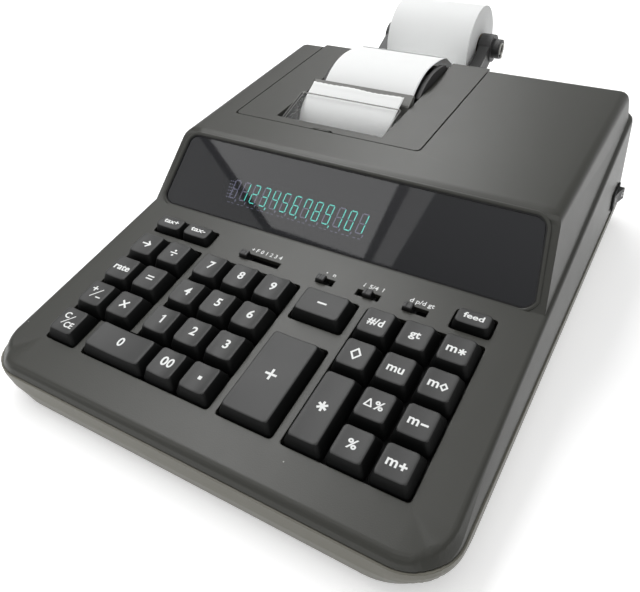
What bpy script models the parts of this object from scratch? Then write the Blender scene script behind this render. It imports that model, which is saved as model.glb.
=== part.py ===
"""Desk printing calculator with a sloping keyboard, a glazed display and a roll printer.

The model is in metres, +Z up, with the front of the case towards -Y and +X to the right.
Every piece hangs from one datum empty, so that the whole machine stands centred on the
origin with its feet at z = 0.  Places are worked out in four frames that the sizes below
set: the case itself, the sloping keyboard deck, the display panel, and the housing top.
"""

import math

import bmesh
import bpy
from mathutils import Matrix, Vector

# Case
FOOT_HEIGHT = 0.003
FOOT_RADIUS = 0.0075
FOOT_INSET = 0.020
FOOT_CHAMFER = 0.0008
BASE_HEIGHT = 0.016
BASE_FLOOR = 0.0025
BASE_TAPER = 0.002
CREST_RISE = 0.004
DECK_SLOPE = math.radians(9.0)
CORNER_RADIUS = 0.009
SIDE_INSET = 0.0038
FRONT_INSET = 0.003
REAR_INSET = 0.002
RIM_RADIUS = 0.0022
SEAM_REVEAL = 0.0007
WALL = 0.0025
POST_RADIUS = 0.004
POST_INSET = 0.014

# Raised printer housing
PANEL_START = 0.118
PANEL_ANGLE = math.radians(49.0)
PANEL_LENGTH = 0.0427
PANEL_WALL = 0.0045
HOUSING_SHOULDER = 0.0054
HOUSING_REAR_LEDGE = 0.0104
HOUSING_DRAFT_SHARE = 0.22
HOUSING_TOP_SLOPE = math.radians(3.6)
HOUSING_EDGE_RADIUS = 0.0045

# Clearances, and how far a cutter runs past what it cuts
GAP = 0.0003
OVERRUN = 0.004

# Keyboard
KEY_PITCH_X = 0.0179
KEY_PITCH_Y = 0.0186
KEY_SPACING = 0.0013
KEY_TOP_HEIGHT = 0.0056
KEY_SHOULDER = 0.0004
KEY_SKIRT_DEPTH = 0.0022
KEY_TRAVEL = 0.0035
KEY_TAPER = 0.0019
KEY_DISH = 0.0004
KEY_DISH_MARGIN = 0.0012
KEY_EDGE = 0.0004
KEY_TOP_RADIUS = 0.0014
KEY_BASE_RADIUS = 0.0008
STEM_WIDTH = 0.006
STEM_DEPTH = 0.004
STEM_LENGTH = 0.0075
STEM_RADIUS = 0.0008
WELL_MARGIN = 0.0003
WELL_RADIUS = 0.0014
KEYBOARD_MARGIN = 0.02175
LEFT_GUTTER = 0.0047
MIDDLE_GUTTER = 0.0042
RIGHT_GUTTER = 0.0043
BIG_KEY_WIDTH = 0.0253
FIRST_ROW = 0.0283
PLUS_KEY_STEP = 0.0098
LOW_KEY_GUTTER = 0.0044
LOW_KEY_PITCH = 0.0110
LOW_KEY_HEIGHT = 0.0042
LOW_KEY_TAPER = 0.0010

# Key mounting plate, square to the key stems
PLATE_THICKNESS = 0.0015
PLATE_MARGIN = 0.004
PLATE_POST_RADIUS = 0.003

# Slide switches, set out along the deck from their neighbouring keys
SLOT_SETBACK = 0.0073
SLOT_DEPTH = 0.0039
SLIDER_WIDTH = 0.0044
SLIDER_HEIGHT = 0.0022
SLIDER_CHAMFER = 0.0004
SLIDER_FLANGE = 0.0010
SLIDER_FLANGE_REACH = 0.0012
DECIMAL_SLOT_START = 0.0144
DECIMAL_SLOT_LENGTH = 0.0227
COUNT_SLOT_START = 0.0003
COUNT_SLOT_LENGTH = 0.0090
ROUNDING_SLOT_START = 0.0213
ROUNDING_SLOT_LENGTH = 0.0116
TOTAL_SLOT_START = 0.0136
TOTAL_SLOT_LENGTH = 0.0115
SLIDER_PLACE_SHARES = {
    "decimal_slider": 0.0,
    "count_slider": 0.0,
    "rounding_slider": 0.5,
    "total_slider": 0.0,
}

# Display
PANE_MARGIN = 0.0030
PANE_SIDE_BOTTOM = 0.0045
PANE_SIDE_TOP = 0.0056
PANE_END = 0.0007
PANE_RADIUS = 0.0050
PANE_THICKNESS = 0.0020
PANE_SINK = 0.0004
PANE_REVEAL = 0.0005
TUBE_SETOFF = 0.0200
TUBE_WIDTH = 0.1100
TUBE_HEIGHT = 0.0240
TUBE_THICKNESS = 0.0060
TUBE_CENTRE = 0.0160
TUBE_BEZEL = 0.0060
TUBE_EDGE = 0.0008

# Printer cover, placed on the housing top
COVER_SIDE_MARGIN = 0.0153
COVER_START = 0.0254
COVER_LENGTH = 0.1044
COVER_THICKNESS = 0.0025
COVER_SEAM = 0.0006
COVER_RADIUS = 0.0025
COVER_LEDGE = 0.0030
COVER_FRAME_WIDTH = 0.0050
COVER_FRAME_DEPTH = 0.0060
COVER_LIP = 0.0025
COVER_LIP_ROOM = 0.0050
COVER_BOSS_LENGTH = 0.0075
COVER_PIVOT_DROP = 0.0070
COVER_BARREL_RADIUS = 0.0022
COVER_PIN_RADIUS = 0.0012
COVER_PIN_LENGTH = 0.0030
COVER_FRONT_STRIP = 0.0056
COVER_LEFT_LEG = 0.0240
COVER_RIGHT_LEG = 0.0230
NOTCH_SIDE_PLAY = 0.0037
FINGER_WIDTH = 0.0096
FINGER_DEPTH = 0.0014
FINGER_RADIUS = 0.0007

# Tear window, hung in the front of the cover's notch
TEAR_THICKNESS = 0.0012
TEAR_ANGLE = math.radians(13.5)
TEAR_MARGIN = 0.0009
TEAR_FLANGE = 0.0022
TEAR_FLAT = 0.0020
TEAR_LENGTH = 0.0246
TEAR_TOOTH_PITCH = 0.0025
TEAR_TOOTH_DEPTH = 0.0008
TEAR_WALL_HEIGHT = 0.0022

# Paper, from the roll over the platen to the torn slip
PAPER_WIDTH = 0.0575
PAPER_THICKNESS = 0.0003
ROLL_SETBACK = 0.0609
ROLL_Z = 0.0735
ROLL_RADIUS = 0.0258
ROLL_BORE = 0.0062
WEB_EDGE_RISE = 0.0012
WEB_LIFT = 0.0071
WEB_LEAD = 0.0077
WEB_DIVE = 0.0195
SLIP_REACH = 0.0098
SLIP_RISE = 0.0265
WEB_FALL_SHARE = 0.5
SLIP_LEAD_SHARE = 0.78
SLIP_TURN_SHARES = (0.75, 0.2)

# Roll arms
ARM_THICKNESS = 0.0070
ARM_WIDTH = 0.0130
ARM_ROOT_Z = 0.0490
ARM_SIDE_PLAY = 0.0020
ARM_HUB_RADIUS = 0.0088
ARM_PIN_LENGTH = 0.0080
ARM_BOSS_RADIUS = 0.0062
ARM_BOSS_LENGTH = 0.0052
ARM_EDGE = 0.0008
ARM_TONGUE_WIDTH = 0.0040
ARM_TONGUE_HEIGHT = 0.0080
ARM_TONGUE_LENGTH = 0.0060

# Printer mechanism
PLATEN_SETBACK = 0.0260
PLATEN_DROP = 0.0190
PLATEN_RADIUS = 0.0100
PLATEN_SHAFT_RADIUS = 0.0030
PLATEN_EDGE = 0.0006
FRAME_PLATE = 0.0020
FRAME_NOSE = 0.0440
FRAME_NOSE_HEIGHT = 0.0360
FRAME_TOP_RISE = 0.0120
FRAME_TAIL_DROP = 0.0120
FRAME_CORNER = 0.0060
GUIDE_TOP_DROP = 0.0010
GUIDE_FRONT_GAP = 0.0167
GUIDE_REAR_GAP = 0.0035
GUIDE_SEAT = 0.0014
GUIDE_MARGIN = 0.0006
CROSSBAR_DEPTH = 0.0080
CROSSBAR_HEIGHT = 0.0060
RAIL_REACH = 0.0210
RAIL_DROP = 0.0070
RAIL_RADIUS = 0.0020
HEAD_WIDTH = 0.0140
HEAD_HEIGHT = 0.0180
HEAD_DEPTH = 0.0100
HEAD_NOSE_HEIGHT = 0.0040
HEAD_PLACE_SHARE = 0.3

# Power switch, on the right side
SWITCH_SETBACK = 0.0275
SWITCH_RAISE = 0.0075
SWITCH_PLATE_LENGTH = 0.0180
SWITCH_PLATE_WIDTH = 0.0110
SWITCH_PLATE_RISE = 0.0012
SWITCH_PLATE_RADIUS = 0.0015
SWITCH_PLATE_RIM = 0.0018
SWITCH_BODY_DEPTH = 0.0085
SWITCH_TILT = math.radians(13.0)
SWITCH_SKIRT = math.radians(25.0)
SWITCH_CROWN = 0.0010
SWITCH_ROCKER_DEPTH = 0.0050

# Circuit board
BOARD_THICKNESS = 0.0016
BOARD_LENGTH = 0.1300
BOARD_WIDTH = 0.1840
BOARD_FRONT = 0.0240
BOARD_CLEARANCE = 0.0040
STANDOFF_RADIUS = 0.0030
STANDOFF_INSET = 0.0080
PARTS_ON_BOARD_SHARES = (
    (0.10, 0.50, 0.10, 0.40, 1.0),
    (0.30, 0.62, 0.22, 0.24, 0.7),
    (0.62, 0.30, 0.16, 0.10, 0.6),
    (0.80, 0.75, 0.09, 0.22, 1.6),
)
BOARD_PART_HEIGHT = 0.0028

# Facets
ARC_STEPS = 4
KEY_STEPS = 2
ROUND_SEGMENTS = 32
SMALL_SEGMENTS = 12
SIDE_STEPS = 8
CURVE_STEPS = 10

# Derived places
BASE_BOTTOM = FOOT_HEIGHT
SEAM_Z = BASE_BOTTOM + BASE_HEIGHT
CREST_Z = SEAM_Z + CREST_RISE
KEYBOARD_WIDTH = 8 * KEY_PITCH_X + BIG_KEY_WIDTH + KEY_SPACING + LEFT_GUTTER + MIDDLE_GUTTER + RIGHT_GUTTER
HALF_WIDTH = KEYBOARD_WIDTH / 2 + KEYBOARD_MARGIN
RIM_HALF_WIDTH = HALF_WIDTH - SIDE_INSET
HOUSING_HALF_WIDTH = HALF_WIDTH - HOUSING_SHOULDER
LEFT_BLOCK_X = (KEY_PITCH_X - KEYBOARD_WIDTH) / 2
NUMBER_BLOCK_X = LEFT_BLOCK_X + 2 * KEY_PITCH_X + LEFT_GUTTER
BIG_KEY_X = NUMBER_BLOCK_X + 5 * KEY_PITCH_X / 2 + MIDDLE_GUTTER + (BIG_KEY_WIDTH + KEY_SPACING) / 2
RIGHT_BLOCK_X = (KEYBOARD_WIDTH - 5 * KEY_PITCH_X) / 2
PLUS_KEY_TOP = FIRST_ROW + 5 * KEY_PITCH_Y / 2 - PLUS_KEY_STEP
LOW_ROW = FIRST_ROW + 7 * KEY_PITCH_Y / 2 + LOW_KEY_GUTTER + LOW_KEY_PITCH / 2
SLOT_ROW = FIRST_ROW + 7 * KEY_PITCH_Y / 2 + SLOT_SETBACK


def deck_height(y):
    """Height of the keyboard deck above the table, at a distance from the front."""
    return CREST_Z + (y - FRONT_INSET) * math.tan(DECK_SLOPE)


def roof_height(y):
    """Height of the housing top above the table, at a distance from the front."""
    return PANEL_TOP_Z + (y - PANEL_TOP_Y) * math.tan(HOUSING_TOP_SLOPE)


def side_wall_x(y, z):
    """Half width of the case's outer face at a point of its right side."""
    share = (z - SEAM_Z) / (deck_height(y) - SEAM_Z)
    return HALF_WIDTH - SEAM_REVEAL - (SIDE_INSET - SEAM_REVEAL) * share


PANEL_Y = FRONT_INSET + PANEL_START
PANEL_Z = deck_height(PANEL_Y)
PANEL_TOP_Y = PANEL_Y + PANEL_LENGTH * math.cos(PANEL_ANGLE)
PANEL_TOP_Z = PANEL_Z + PANEL_LENGTH * math.sin(PANEL_ANGLE)
HOUSING_TOP_LENGTH = COVER_START + COVER_LENGTH
HOUSING_BACK_Y = PANEL_TOP_Y + HOUSING_TOP_LENGTH * math.cos(HOUSING_TOP_SLOPE)
HOUSING_BACK_Z = PANEL_TOP_Z + HOUSING_TOP_LENGTH * math.sin(HOUSING_TOP_SLOPE)
CASE_DEPTH = HOUSING_BACK_Y + HOUSING_REAR_LEDGE
HOUSING_CROWN = HOUSING_HALF_WIDTH - HOUSING_DRAFT_SHARE * PANEL_LENGTH * math.sin(PANEL_ANGLE - DECK_SLOPE)
COVER_LEFT = COVER_SIDE_MARGIN - HOUSING_CROWN
NOTCH_LEFT = COVER_LEFT + COVER_LEFT_LEG
NOTCH_RIGHT = NOTCH_LEFT + PAPER_WIDTH + 2 * NOTCH_SIDE_PLAY
COVER_RIGHT = NOTCH_RIGHT + COVER_RIGHT_LEG
NOTCH_START = COVER_START + COVER_FRONT_STRIP
PAPER_X = (NOTCH_LEFT + NOTCH_RIGHT) / 2
ROLL_Y = HOUSING_BACK_Y + ROLL_SETBACK
OVERALL_DEPTH = ROLL_Y + ROLL_RADIUS
NOTCH_Y = PANEL_TOP_Y + NOTCH_START * math.cos(HOUSING_TOP_SLOPE)
NOTCH_Z = PANEL_TOP_Z + NOTCH_START * math.sin(HOUSING_TOP_SLOPE)
PLATEN_Y = NOTCH_Y + PLATEN_SETBACK
PLATEN_Z = NOTCH_Z - PLATEN_DROP
GUIDE_FRONT = PLATEN_Y + PLATEN_RADIUS + GUIDE_FRONT_GAP
GUIDE_REAR = HOUSING_BACK_Y - WALL - GUIDE_REAR_GAP
GUIDE_RADIUS = (GUIDE_REAR - GUIDE_FRONT) / 2
GUIDE_Y = (GUIDE_REAR + GUIDE_FRONT) / 2
GUIDE_Z = HOUSING_BACK_Z - GUIDE_TOP_DROP - GUIDE_RADIUS
SWITCH_Y = CASE_DEPTH - SWITCH_SETBACK
SWITCH_Z = SEAM_Z + SWITCH_RAISE
SWITCH_X = side_wall_x(SWITCH_Y, SWITCH_Z)
SWITCH_DRAFT = math.atan((SIDE_INSET - SEAM_REVEAL) / (deck_height(SWITCH_Y) - SEAM_Z))
ROCKER_RADIUS = SWITCH_PLATE_LENGTH / 2 - SWITCH_PLATE_RIM - 2 * GAP
SWITCH_RISE = SWITCH_PLATE_RISE + ROCKER_RADIUS * math.sin(2 * SWITCH_TILT)
SWITCH_HALF = SWITCH_PLATE_WIDTH / 2 - SWITCH_PLATE_RIM - GAP
SWITCH_REACH_X = SWITCH_X + SWITCH_RISE * math.cos(SWITCH_DRAFT) + SWITCH_HALF * math.sin(SWITCH_DRAFT)

DECK = Matrix.Translation((0, FRONT_INSET, CREST_Z)) @ Matrix.Rotation(DECK_SLOPE, 4, "X")
PANEL = Matrix.Translation((0, PANEL_Y, PANEL_Z)) @ Matrix.Rotation(PANEL_ANGLE, 4, "X")
TOP = Matrix.Translation((0, PANEL_TOP_Y, PANEL_TOP_Z)) @ Matrix.Rotation(HOUSING_TOP_SLOPE, 4, "X")
ALONG_X = Matrix.Rotation(math.pi / 2, 4, "Y")
PLATE_TOP = -(KEY_SKIRT_DEPTH + KEY_TRAVEL + GAP)
TUBE_X = -TUBE_SETOFF
SIDEWAYS = Matrix(((0, 0, 1, 0), (1, 0, 0, 0), (0, 1, 0, 0), (0, 0, 0, 1)))


def clear_objects():
    """Take away whatever the scene starts with."""
    for item in list(bpy.data.objects):
        bpy.data.objects.remove(item, do_unlink=True)


def make_material(name, colour, roughness, metallic=0.0, alpha=1.0):
    """A Principled material of one plain colour."""
    material = bpy.data.materials.new(name)
    material.use_nodes = True
    shader = material.node_tree.nodes["Principled BSDF"]
    shader.inputs["Base Color"].default_value = (*colour, 1.0)
    shader.inputs["Roughness"].default_value = roughness
    shader.inputs["Metallic"].default_value = metallic
    shader.inputs["Alpha"].default_value = alpha
    material.diffuse_color = (*colour, alpha)
    return material


def rounded_polygon(corners, radii, steps):
    """Outline through the corners, each turned with an arc of its own radius."""
    outline = []
    for index, corner in enumerate(corners):
        point = Vector(corner)
        radius = radii[index]
        if radius == 0:
            outline.append(point)
            continue
        before = (Vector(corners[index - 1]) - point).normalized()
        after = (Vector(corners[(index + 1) % len(corners)]) - point).normalized()
        half = before.angle(after) / 2
        centre = point + (before + after).normalized() * radius / math.sin(half)
        start = point + before * radius / math.tan(half) - centre
        end = point + after * radius / math.tan(half) - centre
        sweep = math.pi - 2 * half
        for step in range(steps + 1):
            share = step / steps
            first = math.sin((1 - share) * sweep) / math.sin(sweep)
            second = math.sin(share * sweep) / math.sin(sweep)
            outline.append(centre + start * first + end * second)
    return outline


def rounded_rectangle(left, right, front, back, radius, steps):
    """Outline of a rectangle with four alike round corners, counterclockwise."""
    corners = ((left, front), (right, front), (right, back), (left, back))
    return rounded_polygon(corners, (radius,) * 4, steps)


def split_sides(outline, steps):
    """Add points along the two long sides of a round-cornered rectangle."""
    quarter = len(outline) // 4
    divided = []
    for index, point in enumerate(outline):
        divided.append(point)
        if index in (2 * quarter - 1, 4 * quarter - 1):
            following = outline[(index + 1) % len(outline)]
            divided.extend(point.lerp(following, step / steps) for step in range(1, steps))
    return divided


def level_ring(outline, height):
    """An outline laid flat at one height."""
    return [(point[0], point[1], height) for point in outline]


def loft(rings):
    """A closed body through rings of points that match one for one."""
    body = bmesh.new()
    loops = [[body.verts.new(point) for point in ring] for ring in rings]
    for lower, upper in zip(loops, loops[1:]):
        for index in range(len(lower)):
            following = (index + 1) % len(lower)
            body.faces.new((lower[index], lower[following], upper[following], upper[index]))
    body.faces.new(tuple(reversed(loops[0])))
    body.faces.new(loops[-1])
    bmesh.ops.recalc_face_normals(body, faces=body.faces)
    return body


def prism(outline, low, high):
    """An outline extruded upwards between two heights."""
    body = bmesh.new()
    face = body.faces.new([body.verts.new(point) for point in level_ring(outline, low)])
    grown = bmesh.ops.extrude_face_region(body, geom=[face])["geom"]
    moved = [item for item in grown if isinstance(item, bmesh.types.BMVert)]
    bmesh.ops.translate(body, verts=moved, vec=(0, 0, high - low))
    bmesh.ops.recalc_face_normals(body, faces=body.faces)
    return body


def box(left, right, front, back, low, high):
    """A square-edged block."""
    return prism(((left, front), (right, front), (right, back), (left, back)), low, high)


def turned(profile, segments):
    """A body spun round the Z axis from its (radius, height) profile, ends on the axis."""
    body = bmesh.new()
    points = [body.verts.new((radius, 0, height)) for radius, height in profile]
    edges = [body.edges.new(pair) for pair in zip(points, points[1:])]
    bmesh.ops.spin(
        body,
        geom=points + edges,
        cent=(0, 0, 0),
        axis=(0, 0, 1),
        angle=math.tau,
        steps=segments,
        use_merge=True,
    )
    bmesh.ops.remove_doubles(body, verts=body.verts, dist=0.00001)
    bmesh.ops.recalc_face_normals(body, faces=body.faces)
    return body


def cylinder(radius, low, high, segments):
    """A plain round bar along Z."""
    return turned(((0, low), (radius, low), (radius, high), (0, high)), segments)


def place(name, body, material, matrix=None):
    """Turn a bmesh into an object at its place."""
    mesh = bpy.data.meshes.new(name)
    body.to_mesh(mesh)
    body.free()
    mesh.materials.append(material)
    item = bpy.data.objects.new(name, mesh)
    bpy.context.scene.collection.objects.link(item)
    if matrix is not None:
        item.matrix_world = matrix
    return item


def combine(target, body, operation, matrix=None):
    """Join a body to the target or cut it from the target, and keep the result."""
    material = target.data.materials[0]
    tool = place("tool", body, material, matrix)
    tool.hide_render = True
    tool.display_type = "WIRE"
    modifier = target.modifiers.new(operation.title(), "BOOLEAN")
    modifier.operation = operation
    modifier.solver = "EXACT"
    modifier.object = tool
    bpy.context.view_layer.update()
    evaluated = target.evaluated_get(bpy.context.evaluated_depsgraph_get())
    result = bpy.data.meshes.new_from_object(evaluated)
    target.modifiers.clear()
    spent = target.data
    target.data = result
    result.name = target.name
    result.materials.clear()
    result.materials.append(material)
    bpy.data.meshes.remove(spent)
    bpy.data.objects.remove(tool, do_unlink=True)


def join(target, body, matrix=None):
    """Fuse a body to the target."""
    combine(target, body, "UNION", matrix)


def cut(target, body, matrix=None):
    """Take a body out of the target."""
    combine(target, body, "DIFFERENCE", matrix)


def smooth(item, angle):
    """Shade smooth, and keep edges sharper than an angle."""
    item.data.shade_smooth()
    item.data.set_sharp_from_angle(angle=angle)


def key_columns(first_x):
    """Centres of three neighbouring key columns."""
    return [first_x + column * KEY_PITCH_X for column in range(3)]


def key_rows():
    """Centres of the four full key rows, front to back."""
    return [FIRST_ROW + row * KEY_PITCH_Y for row in range(4)]


def key_table():
    """Name, centre and cell size of every key, in the deck frame."""
    left = key_columns(LEFT_BLOCK_X)
    number = key_columns(NUMBER_BLOCK_X)
    right = key_columns(RIGHT_BLOCK_X)
    rows = key_rows()
    single = (KEY_PITCH_X, KEY_PITCH_Y)
    keys = []
    for name, x, row in (
        ("key_clear", left[0], 0),
        ("key_sign", left[0], 1),
        ("key_multiply", left[1], 1),
        ("key_rate", left[0], 2),
        ("key_equals", left[1], 2),
        ("key_arrow", left[0], 3),
        ("key_divide", left[1], 3),
        ("key_00", number[1], 0),
        ("key_point", number[2], 0),
        ("key_1", number[0], 1),
        ("key_2", number[1], 1),
        ("key_3", number[2], 1),
        ("key_4", number[0], 2),
        ("key_5", number[1], 2),
        ("key_6", number[2], 2),
        ("key_7", number[0], 3),
        ("key_8", number[1], 3),
        ("key_9", number[2], 3),
        ("key_percent", right[1], 0),
        ("key_memory_plus", right[2], 0),
        ("key_delta_percent", right[1], 1),
        ("key_memory_minus", right[2], 1),
        ("key_subtotal", right[0], 2),
        ("key_markup", right[1], 2),
        ("key_memory_subtotal", right[2], 2),
        ("key_date", right[0], 3),
        ("key_grand_total", right[1], 3),
        ("key_memory_total", right[2], 3),
    ):
        keys.append((name, x, rows[row], *single))
    front = rows[0] - KEY_PITCH_Y / 2
    plus_depth = PLUS_KEY_TOP - front
    keys.append(("key_0", number[0] - KEY_PITCH_X / 2, rows[0], 2 * KEY_PITCH_X, KEY_PITCH_Y))
    keys.append(("key_total", right[0], (rows[0] + rows[1]) / 2, KEY_PITCH_X, 2 * KEY_PITCH_Y))
    keys.append(("key_plus", BIG_KEY_X, front + plus_depth / 2, BIG_KEY_WIDTH + KEY_SPACING, plus_depth))
    keys.append(("key_minus", BIG_KEY_X, rows[3], BIG_KEY_WIDTH + KEY_SPACING, KEY_PITCH_Y))
    keys.append(("key_tax_plus", left[0], LOW_ROW, KEY_PITCH_X, LOW_KEY_PITCH))
    keys.append(("key_tax_minus", left[1], LOW_ROW, KEY_PITCH_X, LOW_KEY_PITCH))
    keys.append(("key_feed", right[2], LOW_ROW, KEY_PITCH_X, LOW_KEY_PITCH))
    return keys


def well_table():
    """Left, right, front and back of every keyboard cut-out, in the deck frame."""
    left = key_columns(LEFT_BLOCK_X)
    number = key_columns(NUMBER_BLOCK_X)
    right = key_columns(RIGHT_BLOCK_X)
    rows = key_rows()
    half_x = KEY_PITCH_X / 2 + WELL_MARGIN
    half_y = KEY_PITCH_Y / 2 + WELL_MARGIN
    half_big = (BIG_KEY_WIDTH + KEY_SPACING) / 2 + WELL_MARGIN
    half_low = LOW_KEY_PITCH / 2 + WELL_MARGIN
    front = rows[0] - half_y
    back = rows[3] + half_y
    return (
        (left[0] - half_x, left[1] + half_x, rows[1] - half_y, back),
        (left[0] - half_x, left[0] + half_x, front, rows[1]),
        (number[0] - half_x, number[2] + half_x, front, back),
        (number[0] - half_x - KEY_PITCH_X, number[0], front, rows[0] + half_y),
        (BIG_KEY_X - half_big, BIG_KEY_X + half_big, rows[3] - half_y, back),
        (BIG_KEY_X - half_big, BIG_KEY_X + half_big, front, PLUS_KEY_TOP + WELL_MARGIN),
        (right[0] - half_x, right[2] + half_x, front, back),
        (left[0] - half_x, left[1] + half_x, LOW_ROW - half_low, LOW_ROW + half_low),
        (right[2] - half_x, right[2] + half_x, LOW_ROW - half_low, LOW_ROW + half_low),
    )


def key_body(cell_width, cell_depth, height, taper):
    """A keycap with a straight skirt, a tapered top with a shallow dish, and its stem."""
    half_x = (cell_width - KEY_SPACING) / 2
    half_y = (cell_depth - KEY_SPACING) / 2

    def ring(inset, radius, level):
        outline = rounded_rectangle(
            inset - half_x, half_x - inset, inset - half_y, half_y - inset, radius, KEY_STEPS
        )
        return level_ring(outline, level)

    stem = rounded_rectangle(
        -STEM_WIDTH / 2, STEM_WIDTH / 2, -STEM_DEPTH / 2, STEM_DEPTH / 2, STEM_RADIUS, KEY_STEPS
    )
    body = loft(
        (
            level_ring(stem, -KEY_SKIRT_DEPTH - STEM_LENGTH),
            level_ring(stem, -KEY_SKIRT_DEPTH),
            ring(0, KEY_BASE_RADIUS, -KEY_SKIRT_DEPTH),
            ring(0, KEY_BASE_RADIUS, KEY_SHOULDER),
            ring(taper, KEY_TOP_RADIUS, height - KEY_EDGE),
            ring(taper + KEY_EDGE, KEY_TOP_RADIUS, height),
        )
    )
    crown = max(body.faces, key=lambda face: face.calc_center_median().z)
    bmesh.ops.inset_region(body, faces=[crown], thickness=KEY_DISH_MARGIN, depth=-KEY_DISH)
    return body


def build_keys(material):
    """All keycaps; keys of one size share a mesh."""
    shapes = {}
    keys = []
    for name, x, y, width, depth in key_table():
        low = depth == LOW_KEY_PITCH
        height = LOW_KEY_HEIGHT if low else KEY_TOP_HEIGHT
        taper = LOW_KEY_TAPER if low else KEY_TAPER
        spot = DECK @ Matrix.Translation((x, y, 0))
        size = (width, depth)
        if size in shapes:
            item = bpy.data.objects.new(name, shapes[size])
            bpy.context.scene.collection.objects.link(item)
            item.matrix_world = spot
        else:
            item = place(name, key_body(width, depth, height, taper), material, spot)
            smooth(item, math.radians(35))
            shapes[size] = item.data
        keys.append(item)
    return keys


def build_key_plate(material):
    """The plate under the keys that guides their stems."""
    cells = key_table()
    left = min(x - width / 2 for _, x, _, width, _ in cells) - PLATE_MARGIN
    right = max(x + width / 2 for _, x, _, width, _ in cells) + PLATE_MARGIN
    front = min(y - depth / 2 for _, _, y, _, depth in cells) - PLATE_MARGIN
    back = max(y + depth / 2 for _, _, y, _, depth in cells) + PLATE_MARGIN / 2
    plate = place(
        "key_plate", box(left, right, front, back, PLATE_TOP - PLATE_THICKNESS, PLATE_TOP), material, DECK
    )
    for _, x, y, _, _ in cells:
        hole = box(
            x - STEM_WIDTH / 2 - GAP,
            x + STEM_WIDTH / 2 + GAP,
            y - STEM_DEPTH / 2 - GAP,
            y + STEM_DEPTH / 2 + GAP,
            PLATE_TOP - OVERRUN,
            PLATE_TOP + OVERRUN,
        )
        cut(plate, hole, DECK)
    return plate


def slot_spans():
    """Left and right end of every slide switch slot, in the deck frame."""
    number_left = NUMBER_BLOCK_X - KEY_PITCH_X / 2
    big_left = BIG_KEY_X - (BIG_KEY_WIDTH + KEY_SPACING) / 2
    right_left = RIGHT_BLOCK_X - KEY_PITCH_X / 2
    return {
        name: (start, start + length)
        for name, start, length in (
            ("decimal_slider", number_left + DECIMAL_SLOT_START, DECIMAL_SLOT_LENGTH),
            ("count_slider", big_left + COUNT_SLOT_START, COUNT_SLOT_LENGTH),
            ("rounding_slider", big_left + ROUNDING_SLOT_START, ROUNDING_SLOT_LENGTH),
            ("total_slider", right_left + TOTAL_SLOT_START, TOTAL_SLOT_LENGTH),
        )
    }


def slider_centre(name):
    """Where a slide switch's knob stands along its slot."""
    start, end = slot_spans()[name]
    room = end - start - 2 * GAP - SLIDER_WIDTH
    return start + GAP + SLIDER_WIDTH / 2 + SLIDER_PLACE_SHARES[name] * room


def build_sliders(material):
    """Slide switch knobs, each held between the deck and the key plate by a flange."""
    sliders = []
    half_x = SLIDER_WIDTH / 2
    half_y = SLOT_DEPTH / 2 - GAP
    reach = SLIDER_FLANGE_REACH
    top = -WALL - GAP
    foot_outline = ((-half_x, -half_y), (half_x, -half_y), (half_x, half_y), (-half_x, half_y))
    for name in slot_spans():
        spot = DECK @ Matrix.Translation((slider_centre(name), SLOT_ROW, 0))
        knob = loft(
            (
                level_ring(foot_outline, top),
                level_ring(foot_outline, SLIDER_HEIGHT - SLIDER_CHAMFER),
                level_ring(
                    (
                        (SLIDER_CHAMFER - half_x, SLIDER_CHAMFER - half_y),
                        (half_x - SLIDER_CHAMFER, SLIDER_CHAMFER - half_y),
                        (half_x - SLIDER_CHAMFER, half_y - SLIDER_CHAMFER),
                        (SLIDER_CHAMFER - half_x, half_y - SLIDER_CHAMFER),
                    ),
                    SLIDER_HEIGHT,
                ),
            )
        )
        item = place(name, knob, material, spot)
        flange = box(
            -half_x - reach, half_x + reach, -half_y - reach, half_y + reach, top - SLIDER_FLANGE, top
        )
        foot = box(-half_x, half_x, -half_y, half_y, PLATE_TOP + GAP, top - SLIDER_FLANGE)
        join(item, flange, spot)
        join(item, foot, spot)
        sliders.append(item)
    return sliders


def case_ring(inset, on_deck):
    """One outline of the case: level at the seam, or on the sloping deck."""
    side = SIDE_INSET if on_deck else SEAM_REVEAL
    front = FRONT_INSET if on_deck else SEAM_REVEAL
    back = REAR_INSET if on_deck else SEAM_REVEAL
    outline = rounded_rectangle(
        side + inset - HALF_WIDTH,
        HALF_WIDTH - side - inset,
        front + inset,
        CASE_DEPTH - back - inset,
        CORNER_RADIUS - inset,
        ARC_STEPS,
    )
    return split_sides(outline, SIDE_STEPS)


def case_wedge(inset, bottom):
    """The sloping lower body of the upper case, its faces moved in by an inset."""
    deck = case_ring(inset, True)
    seam = case_ring(inset, False)
    lowered = [(x, y, deck_height(y) - inset / math.cos(DECK_SLOPE)) for x, y in deck]
    rings = [level_ring(seam, SEAM_Z), lowered]
    if bottom < SEAM_Z:
        rings.insert(0, level_ring(seam, bottom))
    return loft(rings)


def offset_profile(points, insets):
    """Move each side of a convex outline inwards by its own distance."""
    lines = []
    for index, inset in enumerate(insets):
        start = Vector(points[index])
        along = (Vector(points[(index + 1) % len(points)]) - start).normalized()
        inwards = Vector((-along.y, along.x))
        lines.append((start + inwards * inset, along))
    moved = []
    for index in range(len(points)):
        start, along = lines[index - 1]
        other, across = lines[index]
        turn = along.cross(across)
        reach = (other - start).cross(across) / turn
        moved.append(start + along * reach)
    return moved


def housing_profile():
    """Side outline of the raised housing, from the panel's foot round to the rear wall."""
    root = SEAM_Z + CREST_RISE / 2
    return (
        (PANEL_Y, root),
        (HOUSING_BACK_Y, root),
        (HOUSING_BACK_Y, deck_height(HOUSING_BACK_Y)),
        (HOUSING_BACK_Y, HOUSING_BACK_Z),
        (PANEL_TOP_Y, PANEL_TOP_Z),
        (PANEL_Y, PANEL_Z),
    )


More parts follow.
